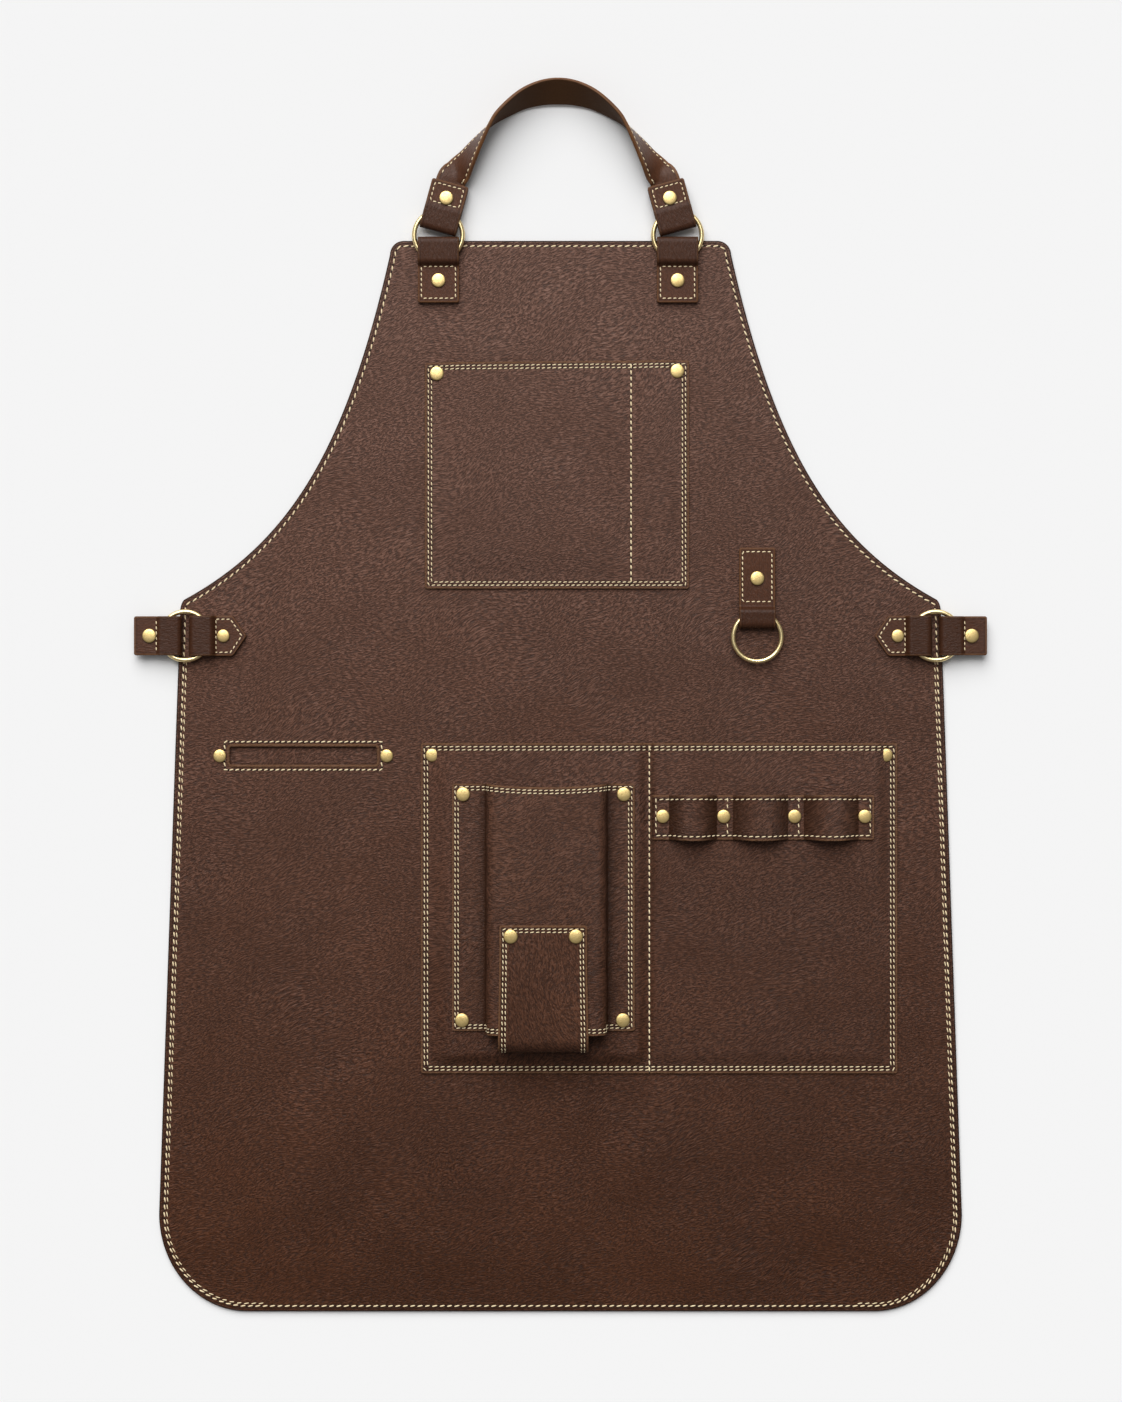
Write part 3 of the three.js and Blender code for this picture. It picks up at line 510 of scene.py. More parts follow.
def awl_hole_shade():
    """Painted shade: a near-black patch for the hole that an awl leaves at each end of a stitch."""
    finish, tree, shader = new_finish("awl_hole_shade")
    place = node(tree, "ShaderNodeTexCoord").outputs["Object"]
    lint = node(tree, "ShaderNodeTexNoise", {"Vector": place, "Scale": 900.0}).outputs["Fac"]
    colour = blended(tree, lint, (0.006, 0.003, 0.002, 1), (0.022, 0.011, 0.006, 1))
    tree.links.new(colour, shader.inputs["Base Color"])
    shader.inputs["Roughness"].default_value = 0.95
    return finish


DARK_BACK = ((0.046, 0.0185, 0.0058), (0.078, 0.0325, 0.0105))
HIDE = leather("oiled_hide", (0.062, 0.0200, 0.0070), (0.080, 0.0262, 0.0096),
               (0.016, 0.0055, 0.0022), 1.5, 0.62, 0.45, 0.0, (2.2, 2.8, 0.62))
POCKET_HIDE = leather("pocket_leather", (0.060, 0.0190, 0.0066), (0.078, 0.0255, 0.0094),
                      (0.150, 0.0720, 0.0340), 2.0, 0.6, 0.45, 3.1, (2.0, 6.2, 0.30))
HOLSTER_HIDE = leather("holster_leather", (0.060, 0.0195, 0.0068), (0.080, 0.0275, 0.0100),
                       (0.155, 0.0740, 0.0340), 1.9, 0.55, 0.42, 5.3, (1.9, 5.6, 0.30), 0.9)
STRAP_HIDE = leather("tab_leather", (0.046, 0.0142, 0.0048), (0.060, 0.0195, 0.0070),
                     (0.125, 0.0540, 0.0220), 1.9, 0.22, 0.40, 7.7, (1.8, 2.6, 0.35), 0.22, 0.45)
NECK_HIDE = leather("neck_leather", (0.046, 0.0150, 0.0052), (0.062, 0.0215, 0.0080),
                    (0.150, 0.0640, 0.0240), 2.9, 0.15, 0.38, 9.1, (2.9, 3.4, 0.25), 0.1, 0.3,
                    DARK_BACK)
BRASS = brass("ring_brass", (0.90, 0.72, 0.38), (0.62, 0.45, 0.19), 0.30, 0.12)
RIVET_BRASS = brass("rivet_brass", (0.82, 0.61, 0.26), (0.40, 0.27, 0.09), 0.34, 0.30)
THREAD = waxed_thread()
HOLE_SHADE = awl_hole_shade()


# ---- stitching ----

def stitch_shape():
    """One stitch along +X, 1 long and 1 wide: six-sided rings of radius (1 - |2t|^3)^(1/2) / 2,
    their middles on an arch that dips at both ends, and a pole at each end."""
    t = np.array([-0.43, -0.2, 0.2, 0.43])
    a = np.radians(np.arange(6) * 60 + 30)
    radius = np.sqrt(1 - np.abs(2 * t) ** 3) / 2
    rise = 0.28 - 1.9 * t ** 2
    rings = np.stack([np.repeat(t[:, None], 6, axis=1), radius[:, None] * np.cos(a),
                      rise[:, None] + radius[:, None] * np.sin(a)], axis=-1)
    points = np.vstack([[[-0.5, 0, -0.2], [0.5, 0, -0.2]], rings.reshape(-1, 3)])
    index = 2 + np.arange(24).reshape(4, 6)
    quads = np.vstack([strip(index[k], index[k + 1]) for k in range(3)])
    near = np.stack([np.full(6, 0), np.roll(index[0], -1), index[0]], axis=1)
    far = np.stack([np.full(6, 1), index[3], np.roll(index[3], -1)], axis=1)
    turn = np.concatenate([[0, 0], np.tile(np.arange(6) / 6, 4)])
    return points, quads, np.vstack([near, far]), turn


def hole_shape():
    """A low lens along +X, 1 long and 1 wide: a six-sided rim and a point above and below it."""
    a = np.radians(np.arange(6) * 60)
    rim = np.stack([np.cos(a) / 2, np.sin(a) / 2, 0 * a], axis=1)
    points = np.vstack([[[0, 0, 1.0], [0, 0, -1.0]], rim])
    index = 2 + np.arange(6)
    over = np.stack([np.full(6, 0), index, np.roll(index, -1)], axis=1)
    under = np.stack([np.full(6, 1), np.roll(index, -1), index], axis=1)
    return points, np.vstack([over, under])


def frames_on(lay, at, heading, height):
    """Place and three directions on a laid surface: along the heading, across it, and up.

    Each direction is the difference of two places half a millimetre either side.
    """
    def place(ds, dw, dh):
        return lay(at[:, 0] + ds, at[:, 1] + dw, height + dh + 0 * at[:, 0])
    on = unit(place(heading[:, 0] * 0.5, heading[:, 1] * 0.5, 0)
              - place(-heading[:, 0] * 0.5, -heading[:, 1] * 0.5, 0))
    rough = unit(place(0, 0, 0.5) - place(0, 0, -0.5))
    across = unit(np.cross(rough, on))
    return place(0, 0, 0), on, across, np.cross(on, across)


def sewn(name, seams, lay, height, body=None, pitch=6.0, wide=1.5, fill=0.76, slant=12.0):
    """One object of every stitch along some seams, and of the painted shade of the holes between
    them.

    A seam is a polyline on the flat cut. Stitches are set every pitch, or the nearest to it that
    divides the seam evenly, each turned by the slant, and their places come from the lay.
    """
    shape, quads, caps, turn = stitch_shape()
    lens, lens_faces = hole_shape()
    spots, headings, pitches, ends = [], [], [], []
    for seam in seams:
        total = distances(seam)[-1]
        count = max(2, int(round(total / pitch)))
        step = total / count
        middles = (np.arange(count) + 0.5) * step
        fore = walk(seam, middles + 0.3)
        aft = walk(seam, middles - 0.3)
        spots.append(walk(seam, middles))
        headings.append(unit(fore - aft))
        pitches.append(np.full(count, step))
        ends.append(walk(seam, middles + 0.5 * step))
    spots, headings, ends = np.vstack(spots), np.vstack(headings), np.vstack(ends)
    pitches = np.concatenate(pitches)
    place, on, across, up = frames_on(lay, spots, headings, height)
    angle = math.radians(slant)
    wobble = 1 + 0.06 * np.sin(spots[:, 0] * 1.7 + spots[:, 1] * 2.3)
    along_stitch = (on * math.cos(angle) + across * math.sin(angle)) * (
        pitches * fill * wobble)[:, None]
    across_stitch = (across * math.cos(angle) - on * math.sin(angle)) * wide
    points = (place[:, None] + shape[None, :, :1] * along_stitch[:, None]
              + shape[None, :, 1:2] * across_stitch[:, None]
              + shape[None, :, 2:] * (up * wide * 0.62)[:, None])
    hole_at, hole_on, hole_across, hole_up = frames_on(lay, ends, headings, height)
    dark = (hole_at[:, None] + lens[None, :, :1] * (hole_on * (pitches * 0.40)[:, None])[:, None]
            + lens[None, :, 1:2] * (hole_across * wide * 1.25)[:, None]
            + lens[None, :, 2:] * (hole_up * 0.16)[:, None])
    total = len(spots)
    base = (np.arange(total) * len(shape))[:, None, None]
    quad_faces = (quads[None] + base).reshape(-1, 4)
    cap_faces = (caps[None] + base).reshape(-1, 3)
    hole_base = total * len(shape) + (np.arange(total) * len(lens))[:, None, None]
    hole_faces = (lens_faces[None] + hole_base).reshape(-1, 3)
    flat = np.stack([shape[None, :, 0] * pitches[:, None],
                     np.repeat(turn[None] * wide * 3, total, axis=0)], axis=-1)
    flat = np.vstack([flat.reshape(-1, 2), np.zeros((total * len(lens), 2))])
    which = np.concatenate([np.zeros(len(quad_faces) + len(cap_faces)), np.ones(len(hole_faces))])
    piece = new_piece(name, np.vstack([points.reshape(-1, 3), dark.reshape(-1, 3)]),
                      [quad_faces, cap_faces, hole_faces], [THREAD, HOLE_SHADE], flat,
                      finish_of=which)
    if body:
        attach(piece, body)
    return piece


def box_seam(left, near, right, far, corner=1.5):
    """A closed seam round a rectangle with round corners, from the middle of its far side."""
    middle = (left + right) / 2
    path = [[[middle, far]], arc(left + corner, far - corner, corner, corner, 90, 180, 5),
            arc(left + corner, near + corner, corner, corner, 180, 270, 5),
            arc(right - corner, near + corner, corner, corner, 270, 360, 5),
            arc(right - corner, far - corner, corner, corner, 0, 90, 5), [[middle, far]]]
    return np.vstack(path)


def double_seam(length, width, corner, depths):
    """Closed seams round a cut of this length and width, each moved in by one of the depths."""
    return [box_seam(d, -width / 2 + d, length - d, width / 2 - d, corner) for d in depths]


def flat_at(z):
    """A lay that keeps plan places as they are, with the leather's middle at height z."""
    def lay(s, w, h):
        return np.stack([s + 0 * h, w + 0 * h, z + h + 0 * s], axis=-1)
    return lay


# ---- the panel ----

def side_x(y):
    """Half the panel's width below the armholes: a straight line from 304 to 321."""
    return 304 + 17 * (73 - y) / 487


def right_side():
    """The panel's right side, from the hem's end round to the bib's top edge.

    A quarter ellipse at the hem, the straight side, a quadratic corner, the armhole's cubic
    curve, and a round corner at the bib.
    """
    hem = arc(251, -414, 70, 78, -90, 0, 30)
    ys = np.concatenate([np.linspace(-414, -54.9, 96), np.linspace(-54.9, -40.3, 5)[1:],
                         np.linspace(-40.3, 67, 29)[1:]])
    side = np.stack([side_x(ys), ys], axis=1)
    t = np.linspace(0, 1, 7)[:, None]
    low, bend, high = side[-1], np.array([304.0, 74.0]), np.array([301.0, 77.0])
    corner = (1 - t) ** 2 * low + 2 * t * (1 - t) * bend + t ** 2 * high
    t = np.linspace(0, 1, 89)[:, None]
    top = np.array([136.4, 353.0])
    from_top = top + 160.5 * np.array([0.22, -0.975])
    from_side = high - 96.03 * np.array([0.877, -0.48])
    arm = ((1 - t) ** 3 * high + 3 * t * (1 - t) ** 2 * from_side
           + 3 * t ** 2 * (1 - t) * from_top + t ** 3 * top)
    bib = arc(125.4, 353, 11, 11, 0, 90, 9)
    return np.vstack([hem, side[1:], corner[1:], arm[1:], bib[1:]])


def whole_outline(columns):
    """The panel's outline, anticlockwise from the hem's left end, and its right side's count."""
    right = right_side()
    near = np.stack([np.linspace(-251, 251, columns + 1), np.full(columns + 1, -492.0)], axis=1)
    far = np.stack([np.linspace(125.4, -125.4, columns + 1), np.full(columns + 1, 364.0)], axis=1)
    left = (right * [-1, 1])[::-1]
    return np.vstack([near[:-1], right[:-1], far[:-1], left[:-1]]), len(right) - 1


def inward(loop, spread=0):
    """Unit normals into an anticlockwise loop, averaged over spread neighbours on each side."""
    along = np.roll(loop, -1, axis=0) - np.roll(loop, 1, axis=0)
    normals = unit(np.stack([-along[:, 1], along[:, 0]], axis=1))
    total = normals.copy()
    for k in range(1, spread + 1):
        total += np.roll(normals, k, axis=0) + np.roll(normals, -k, axis=0)
    return unit(total)


def hide_wave(x, y):
    """Slow waves in a hide that lies on the floor, up to 0.5 mm down and never up."""
    wave = (np.sin(x / 71 + 0.6) * np.sin(y / 93 + 1.1)
            + 0.6 * np.sin(x / 39 - y / 57) + 0.4 * np.sin((x + y) / 33 + 2))
    calm = smooth(np.hypot((x + 205) / 90, (y + 48) / 40), 0.8, 1.6)
    return -0.22 * (1 + wave / 2) * calm


def panel_lay(x, y, h):
    """The panel's middle lies at its level, less the hide's slow waves."""
    return np.stack([x + 0 * h, y + 0 * h, PANEL_MIDDLE + h + hide_wave(x, y)], axis=-1)


def build_panel():
    """The panel: loops in from the outline for its rounded edge and its seam, and a grid of
    level rows between the last loop's two sides, with the slot's window left out."""
    columns = 128
    outline, rows = whole_outline(columns)
    reach = 8.0
    inner = outline + inward(outline, 3) * reach
    right = inner[columns:columns + rows + 1]
    left = right * [-1, 1]
    share = np.linspace(0, 1, columns + 1)[None, :, None]
    grid = left[:, None] * (1 - share) + right[:, None] * share
    window = (-264.6, -146.6, -55.1, -40.5)
    middle_row = int(np.argmin(np.abs(grid[:, 0, 1] - SLOT_Y)))
    first = int(np.argmin(np.abs(grid[middle_row, :, 0] - window[0])))
    last = int(np.argmin(np.abs(grid[middle_row, :, 0] - window[1])))
    bottom = int(np.argmin(np.abs(grid[:, 0, 1] - window[2])))
    top = int(np.argmin(np.abs(grid[:, 0, 1] - window[3])))
    number = np.arange(columns + 1)
    near = bell(grid[:, 0, 1], SLOT_Y, 26)[:, None]
    for column, x in ((first, window[0]), (last, window[1])):
        miss = x - grid[:, column, 0]
        grid[..., 0] += miss[:, None] * bell(number, column, 1.6)[None] * np.minimum(near * 1.1, 1)

    bands = np.array([0, 0.05, 0.2, 0.45, 0.75, 1.1, 1.9, 2.3, 2.6, 3.1, 3.7, 4.4, 5.1, 5.8, 6.8])
    count = grid.shape[0] * grid.shape[1]
    front = np.arange(count).reshape(grid.shape[:2])
    back = front + count
    rim = rim_of(front)
    target = grid.reshape(-1, 2)[rim]
    loops = [outline + (target - outline) * (b / reach) for b in bands]
    under = [0.05, 0.2, 0.45, 0.75, 1.1]
    low_loops = [outline + (target - outline) * (b / reach) for b in under]
    size = len(rim)
    loop_index = 2 * count + np.arange(len(bands) * size).reshape(len(bands), size)
    low_index = 2 * count + len(bands) * size + np.arange(len(under) * size).reshape(-1, size)

    keep = np.ones((grid.shape[0] - 1, grid.shape[1] - 1), bool)
    keep[bottom:top, first:last] = False
    faces = [cells(front, keep), cells(back, keep)[:, ::-1]]
    ups = [*loop_index, rim]
    faces += [strip(ups[k], ups[k + 1]) for k in range(len(ups) - 1)]
    downs = [loop_index[0], *low_index, rim + count]
    faces += [strip(downs[k], downs[k + 1])[:, ::-1] for k in range(len(downs) - 1)]
    hole = rim_of(front[bottom:top + 1, first:last + 1])
    faces.append(np.stack([hole, np.roll(hole, -1), np.roll(hole, -1) + count, hole + count], axis=1))

    flat = np.vstack([grid.reshape(-1, 2), grid.reshape(-1, 2), *loops, *low_loops])
    inside = np.full(count, reach + 4.0)
    inside[rim] = reach
    d = np.concatenate([inside, inside, np.repeat(bands, size), np.repeat(under, size)])
    sign = np.concatenate([np.ones(count), -np.ones(count), np.ones(len(bands) * size),
                           -np.ones(len(under) * size)])
    half = edge_share(d, 1.1)
    press = 0.16 * bell(d, 2.5, 0.35) + 0.22 * bell(d, 4.4, 0.8)
    h = sign * half - np.where(sign > 0, press, 0)
    points = panel_lay(flat[:, 0], flat[:, 1], h)
    points[:, 2] -= 0.35 * (1 - smooth(d, 0, 7))
    panel = new_piece("leather_panel", points, [np.vstack(faces)], [HIDE], flat,
                      {"rim": d, "side": sign * half})
    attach(panel, "apron")
    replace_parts(panel, "apron_panel")
    return outline


def offset_loop(outline, d):
    """The outline moved in by d, and resampled every 0.8 mm."""
    moved = outline + inward(outline, 2) * d
    moved = np.vstack([moved, moved[:1]])
    return walk(moved, np.arange(0, distances(moved)[-1], 0.8))


def panel_seams(outline):
    """The panel's hem: one row all round, and a second one close inside it from where each
    armhole ends down to the hem's corners."""
    loop = offset_loop(outline, 4.4)
    sewn("hem_stitches", [np.vstack([loop, loop[:1]])], panel_lay, 0.72, "apron", 5.9, 1.25, 0.74, 12)
    second = offset_loop(outline, 6.5)
    second = np.roll(second, -int(np.argmax(second[:, 1])), axis=0)
    for word, side in SIDES:
        part = second[(second[:, 0] * side > 236) & (second[:, 1] < 30)]
        sewn(f"side_stitches_{word}", [part], panel_lay, 0.9, "apron", 5.9, 0.95, 0.74, 12)


# ---- the slot pocket ----

def build_slot():
    """The slot's backing strip, and the turned lip round its window: an oval section carried
    round a rectangle with round corners."""
    backing = leather_strip("slot_back_strip", 121.6, 24, 1.3, lambda s, w, h: np.stack(
        [-266.4 + s, SLOT_Y + w, 0.65 + h], axis=-1), POCKET_HIDE,
        lines(121.6, 2.0), lines(24, 2.0), 1.5, 0.5)
    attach(backing, "apron")
    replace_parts(backing, "slot_backing")

    path = box_seam(-265.6, -56.1, -145.6, -39.5, 2.6)[:-1]
    closed = np.vstack([path, path[:1]])
    path = walk(closed, np.linspace(0, distances(closed)[-1], 181))[:-1]
    out = -inward(path) if signed_area(path) > 0 else inward(path)
    a = np.linspace(0, 2 * np.pi, 12, endpoint=False)
    across = 1.25 * np.sign(np.cos(a)) * np.abs(np.cos(a)) ** 0.8
    up = 1.25 * np.sign(np.sin(a)) * np.abs(np.sin(a)) ** 0.8
    points = np.concatenate([path[:, None, :] + out[:, None, :] * across[None, :, None],
                             np.repeat((2.75 + up)[None, :, None], len(path), axis=0)], axis=2)
    index = np.pad(np.arange(len(path) * 12).reshape(-1, 12), ((0, 1), (0, 1)), mode="wrap")
    flat = np.repeat(path[:, None], 12, axis=1) + out[:, None] * across[None, :, None]
    lip = new_piece("slot_lip", points.reshape(-1, 3), [cells(index)], [POCKET_HIDE],
                    flat.reshape(-1, 2),
                    {"rim": np.full(points.shape[0] * 12, 1.0),
                     "side": np.ones(points.shape[0] * 12)})
    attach(lip, "apron")
    sewn("slot_stitches", [box_seam(-268.4, -59.0, -142.9, -36.6, 1.2)], flat_at(PANEL_FRONT),
         0.02, "apron", 4.6, 1.2, 0.76, 15)


def signed_area(path):
    """Area inside a closed path, positive if it runs anticlockwise: half the sum of x dy - y dx."""
    after = np.roll(path, -1, axis=0)
    return 0.5 * np.sum(path[:, 0] * after[:, 1] - path[:, 1] * after[:, 0])


# ---- pockets ----

def dents(x, y, places, deep=0.3, wide=8.0):
    """How far rivets press the leather in: a bell round each."""
    total = 0 * x
    for a, b in places:
        total = total + deep * np.exp(-((x - a) ** 2 + (y - b) ** 2) / wide ** 2)
    return total


BIB_RIVETS = [(-98.8, 257.6), (93.2, 259.6)]
TOOL_RIVETS = [(-102.6, -47.2), (260.0, -47.2)]
HOLSTER_RIVETS = [(-77.6, -78.2), (50.4, -78.2), (-78.4, -258.1), (49.6, -258.1)]
TONGUE_RIVETS = [(-39.3, -189.6), (12.1, -189.6)]
LOOP_RIVETS = [(81.4, -95.8), (129.9, -95.8), (186.3, -95.8), (242.2, -95.8)]
SLOT_RIVETS = [(-272.3, SLOT_Y), (-138.9, SLOT_Y)]


def bib_rise(x, y):
    """How far the bib pocket's front stands off: 3 mm in the wide part, 2.2 in the narrow one,
    by smooth ramps in from the seams, with a slow ripple along the opening."""
    wide = smooth(x, -102, -76) * (1 - smooth(x, 28, 55.2))
    narrow = 0.74 * smooth(x, 57.6, 68) * (1 - smooth(x, 84, 96))
    ripple = 1 + 0.10 * np.sin(x / 19) * smooth(y, 150, 262)
    return 3.0 * np.maximum(wide, narrow) * smooth(y, 90, 118) * ripple


def bib_lay(s, w, h):
    """The bib pocket over the panel; its top edge climbs 2 mm to the right."""
    x = s + BIB_LEFT
    y = w + BIB_MIDDLE_Y
    climb = 2.0 * (x - BIB_LEFT) / 211.2 * smooth(y, 90, 264)
    return np.stack([x + 0 * h, y + climb - 1.0 * smooth(y, 90, 264) + 0 * h,
                     POCKET_MIDDLE + bib_rise(x, y) + h], axis=-1)


def tool_rise(x, y):
    """How far the tool pocket's front stands off. It is full under the holster and under the
    loops, and less where nothing holds it up, by smooth ramps between."""
    left = smooth(x, -106.5, -87.5) * (1 - smooth(x, 60.4, 70.4))
    right = smooth(x, 71.6, 75.6) * (1 - smooth(x, 250.4, 263.4))
    low = 0.42 + 0.58 * smooth(y, -186, -119)
    mouth = 1 - 0.22 * smooth(y, -74, -44)
    return 6.4 * np.maximum(left, right * low) * smooth(y, -297, -284) * mouth


def tool_lay(s, w, h):
    """The tool pocket over the panel."""
    x = s + TOOL_LEFT
    y = w + TOOL_MIDDLE_Y
    return np.stack([x + 0 * h, y + 0 * h, POCKET_MIDDLE + tool_rise(x, y) + h], axis=-1)


def build_pockets():
    """The two big pockets, their seams and dividers."""
    rows = np.array([1.5, 2.2, 2.9, 3.6, 4.3, 5.0, 5.6, 6.3, 7.2])

    def bib_press(s, w, d):
        x, y = s + BIB_LEFT, w + BIB_MIDDLE_Y
        seam = 0.2 * (bell(d, 2.9, 0.6) + bell(d, 5.6, 0.6)) + 0.28 * bell(x, 56.4, 0.9)
        return seam + dents(x, y, BIB_RIVETS)
    bib = leather_strip("bib_pocket_front", 211.2, 181.6, POCKET_THICK, bib_lay, POCKET_HIDE,
                        lines(211.2, 2.3, rows, at=[164.8]),
                        lines(181.6, 2.3, rows), 2.2, 0.8, bib_press)
    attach(bib, "apron")
    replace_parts(bib, "bib_pocket")
    frames = double_seam(211.2, 181.6, 1.5, (2.9, 5.4))
    sewn("bib_pocket_stitches", frames, bib_lay, 0.62, "apron", 4.3, 0.95, 0.76, 10)
    sewn("bib_divider_stitches", [np.array([[164.8, 89.0], [164.8, -86.0]])], bib_lay, 0.55,
         "apron", 5.0, 1.35, 0.76, 6)

    def tool_press(s, w, d):
        x, y = s + TOOL_LEFT, w + TOOL_MIDDLE_Y
        seam = 0.2 * (bell(d, 2.8, 0.6) + bell(d, 5.4, 0.6)) + 0.28 * bell(x, 71, 0.9)
        return seam + dents(x, y, TOOL_RIVETS)
    tool = leather_strip("tool_pocket_front", 380.8, 264, POCKET_THICK, tool_lay, POCKET_HIDE,
                         lines(380.8, 2.9, rows, at=[182.6]),
                         lines(264, 2.9, rows), 2.2, 0.8, tool_press)
    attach(tool, "apron")
    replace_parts(tool, "tool_pocket")
    frames = double_seam(380.8, 264, 1.5, (2.9, 5.4))
    sewn("tool_pocket_stitches", frames, tool_lay, 0.62, "apron", 4.8, 0.95, 0.74, 10)
    sewn("tool_divider_stitches", [np.array([[182.6, 130.5], [182.6, -131.0]])], tool_lay, 0.55,
         "apron", 5.0, 1.35, 0.76, 6)


# ---- surfaces that follow a path in a section ----

def section(path):
    """A lay's place and normal along a path in a section: straight interpolation by distance,
    the normal being the path's direction turned a quarter to the left."""
    dense = walk(path, np.linspace(0, distances(path)[-1], 1200))
    reach = distances(dense)
    along = unit(np.gradient(dense, axis=0))
    normal = np.stack([-along[:, 1], along[:, 0]], axis=1)

    def at(s, h):
        a = np.interp(s, reach, dense[:, 0]) + h * np.interp(s, reach, normal[:, 0])
        b = np.interp(s, reach, dense[:, 1]) + h * np.interp(s, reach, normal[:, 1])
        return a, b
    return at, reach[-1]


HOLSTER_PATH = rounded(
    [(-86.4, 12.4), (-58.6, 12.4), (-57.2, 34.4), (34.8, 34.4), (36.2, 12.4), (59.2, 12.4)],
    [3.5, 8.5, 8.5, 3.5], 10)
HOLSTER_AT, HOLSTER_FLAT = section(HOLSTER_PATH)


def holster_lay(s, w, h):
    """The holster: its section across the apron, carried along it. The channel is 2% wider at
    the bottom, its opening sags, and its walls have shallow pleats."""
    x, z = HOLSTER_AT(s, h)
    y = w - 168.35
    up = smooth(z, 14, 33)
    share = (x - HOLSTER_X) / 47
    sag = up * np.maximum(1 - share ** 2, 0)
    top = smooth(y, -110, -69.8)
    x = x + up * (x - HOLSTER_X) * (0.012 - 0.03 * smooth(y, -266, -80)) * 0.9
    y = y - 2.4 * sag * top - 1.6 * up * (1 - smooth(y, -267, -240))
    wall = bell(np.abs(x - HOLSTER_X), 47, 4) * up * (1 - up)
    z = z - 1.1 * sag * top ** 2 - 0.35 * (1 - sag) * up * np.sin(y / 9.0) * 0.4
    x = x + np.sign(x - HOLSTER_X) * 1.3 * wall * np.sin(y / 6.5)
    return np.stack([x, y, z], axis=-1)


TONGUE_PATH = np.vstack([[[-181.0, 36.1]], arc(-269.75, 24.25, 11.85, 11.85, 90, 270, 24),
                         [[-251.75, 12.4]]])
TONGUE_AT, TONGUE_FLAT = section(TONGUE_PATH)


def tongue_lay(s, w, h):
    """The holster's strap: down the front, round the open bottom and back underneath. The cut
    widens by 1 mm to the bottom."""
    y, z = TONGUE_AT(s, -h)
    spread = 1 + 0.03 * smooth(s, 20, 100)
    return np.stack([-13.6 + w * spread + 0 * h, y, z], axis=-1)


def loop_rise(x):
    """How far the loops stand off: 11 sin(pi t)^0.95 across each."""
    rise = 0 * x
    for start, end in ((86.6, 124.3), (137.3, 180.9), (193.9, 237.0)):
        t = np.clip((x - start) / (end - start), 0, 1)
        rise = rise + 11 * np.sin(np.pi * t) ** 0.95
    return rise


LOOP_X = np.linspace(73.2, 249.8, 900)
LOOP_PATH = np.stack([LOOP_X, POCKET_MIDDLE + tool_rise(LOOP_X, -97 + 0 * LOOP_X) + 1.8
                      + loop_rise(LOOP_X)], axis=1)
LOOP_AT, LOOP_FLAT = section(LOOP_PATH)


def loop_side_shade(s):
    """Painted shade on the loops' steep sides: 0.8 times the smoothstep of the strap's slope from 0.3
    to 1.
    """
    x = np.interp(s, distances(LOOP_PATH), LOOP_X)
    return 0.8 * smooth(np.abs(loop_rise(x + 0.5) - loop_rise(x - 0.5)), 0.3, 1.0)


def loop_lay(s, w, h):
    """The loops' strap: its wavy section, carried across its width; the middle of each loop
    leans 1 mm further out at both edges."""
    x, z = LOOP_AT(s, h)
    out = 1 + 0.03 * smooth(z, 16, 24)
    return np.stack([x, -96.8 + w * out + 0 * h, z], axis=-1)


def build_holster():
    """The holster, its strap and the tool loops."""
    rows = np.array([1.5, 2.2, 2.9, 3.6, 4.3, 5.0, 5.7, 6.5])

    def holster_press(s, w, d):
        return 0.18 * (bell(d, 2.4, 0.55) + bell(d, 5.0, 0.55))
    # The last argument marks painted shade along the feet of the channel's two walls.
    body = leather_strip("holster_pouch", HOLSTER_FLAT, 197.1, POCKET_THICK, holster_lay,
                         HOLSTER_HIDE, lines(HOLSTER_FLAT, 1.7, rows),
                         lines(197.1, 2.2, rows), 2.0, 0.8, holster_press, None,
                         lambda s: 0.72 * np.maximum(bell(s, 27.5, 5.5),
                                                     bell(s, HOLSTER_FLAT - 22.5, 5.5)))
    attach(body, "apron")
    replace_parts(body, "holster_body")
    frames = double_seam(HOLSTER_FLAT, 197.1, 1.2, (2.5, 4.9))
    sewn("holster_stitches", frames, holster_lay, 0.62, "apron", 4.4, 0.95, 0.76, 10)

    strap = leather_strip("holster_tongue", TONGUE_FLAT, 69.4, POCKET_THICK, tongue_lay,
                          HOLSTER_HIDE, lines(TONGUE_FLAT, 1.6, rows),
                          lines(69.4, 1.8, rows), 2.2, 0.8,
                          lambda s, w, d: 0.18 * (bell(d, 3.0, 0.55) + bell(d, 5.4, 0.55)))
    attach(strap, "apron")
    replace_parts(strap, "holster_strap")
    end = TONGUE_FLAT - 16
    seams = []
    for d in (3.0, 5.4):
        half = 34.7 - d
        seams.append(np.vstack([[[end, -half]], arc(d + 1.2, -half + 1.2, 1.2, 1.2, 270, 180, 4),
                                arc(d + 1.2, half - 1.2, 1.2, 1.2, 180, 90, 4), [[end, half]]]))
    sewn("holster_tongue_stitches", seams, tongue_lay, 0.62, "apron", 4.4, 0.95, 0.76, 10)

    loops = leather_strip("loop_strap", LOOP_FLAT, 35.6, 1.8, loop_lay, HOLSTER_HIDE,
                          lines(LOOP_FLAT, 1.1, rows[:6]),
                          lines(35.6, 1.6, rows[:6]), 1.6, 0.8,
                          lambda s, w, d: 0.15 * bell(d, 3.4, 0.6), None, loop_side_shade)
    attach(loops, "apron")
    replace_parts(loops, "tool_loops")
    reach = distances(LOOP_PATH)
    ups = [np.interp(x, LOOP_X, reach) for x in (132.9, 189.6)]
    start, end = np.interp([76.0, 246.6], LOOP_X, reach)
    seams = [box_seam(start, -14.4, end, 14.4, 1.0)]
    seams += [np.array([[s, 16.6], [s, -14.0]]) for s in ups]
    sewn("loop_strap_stitches", seams, loop_lay, 0.75, "apron", 4.9, 1.0, 0.74, 10)


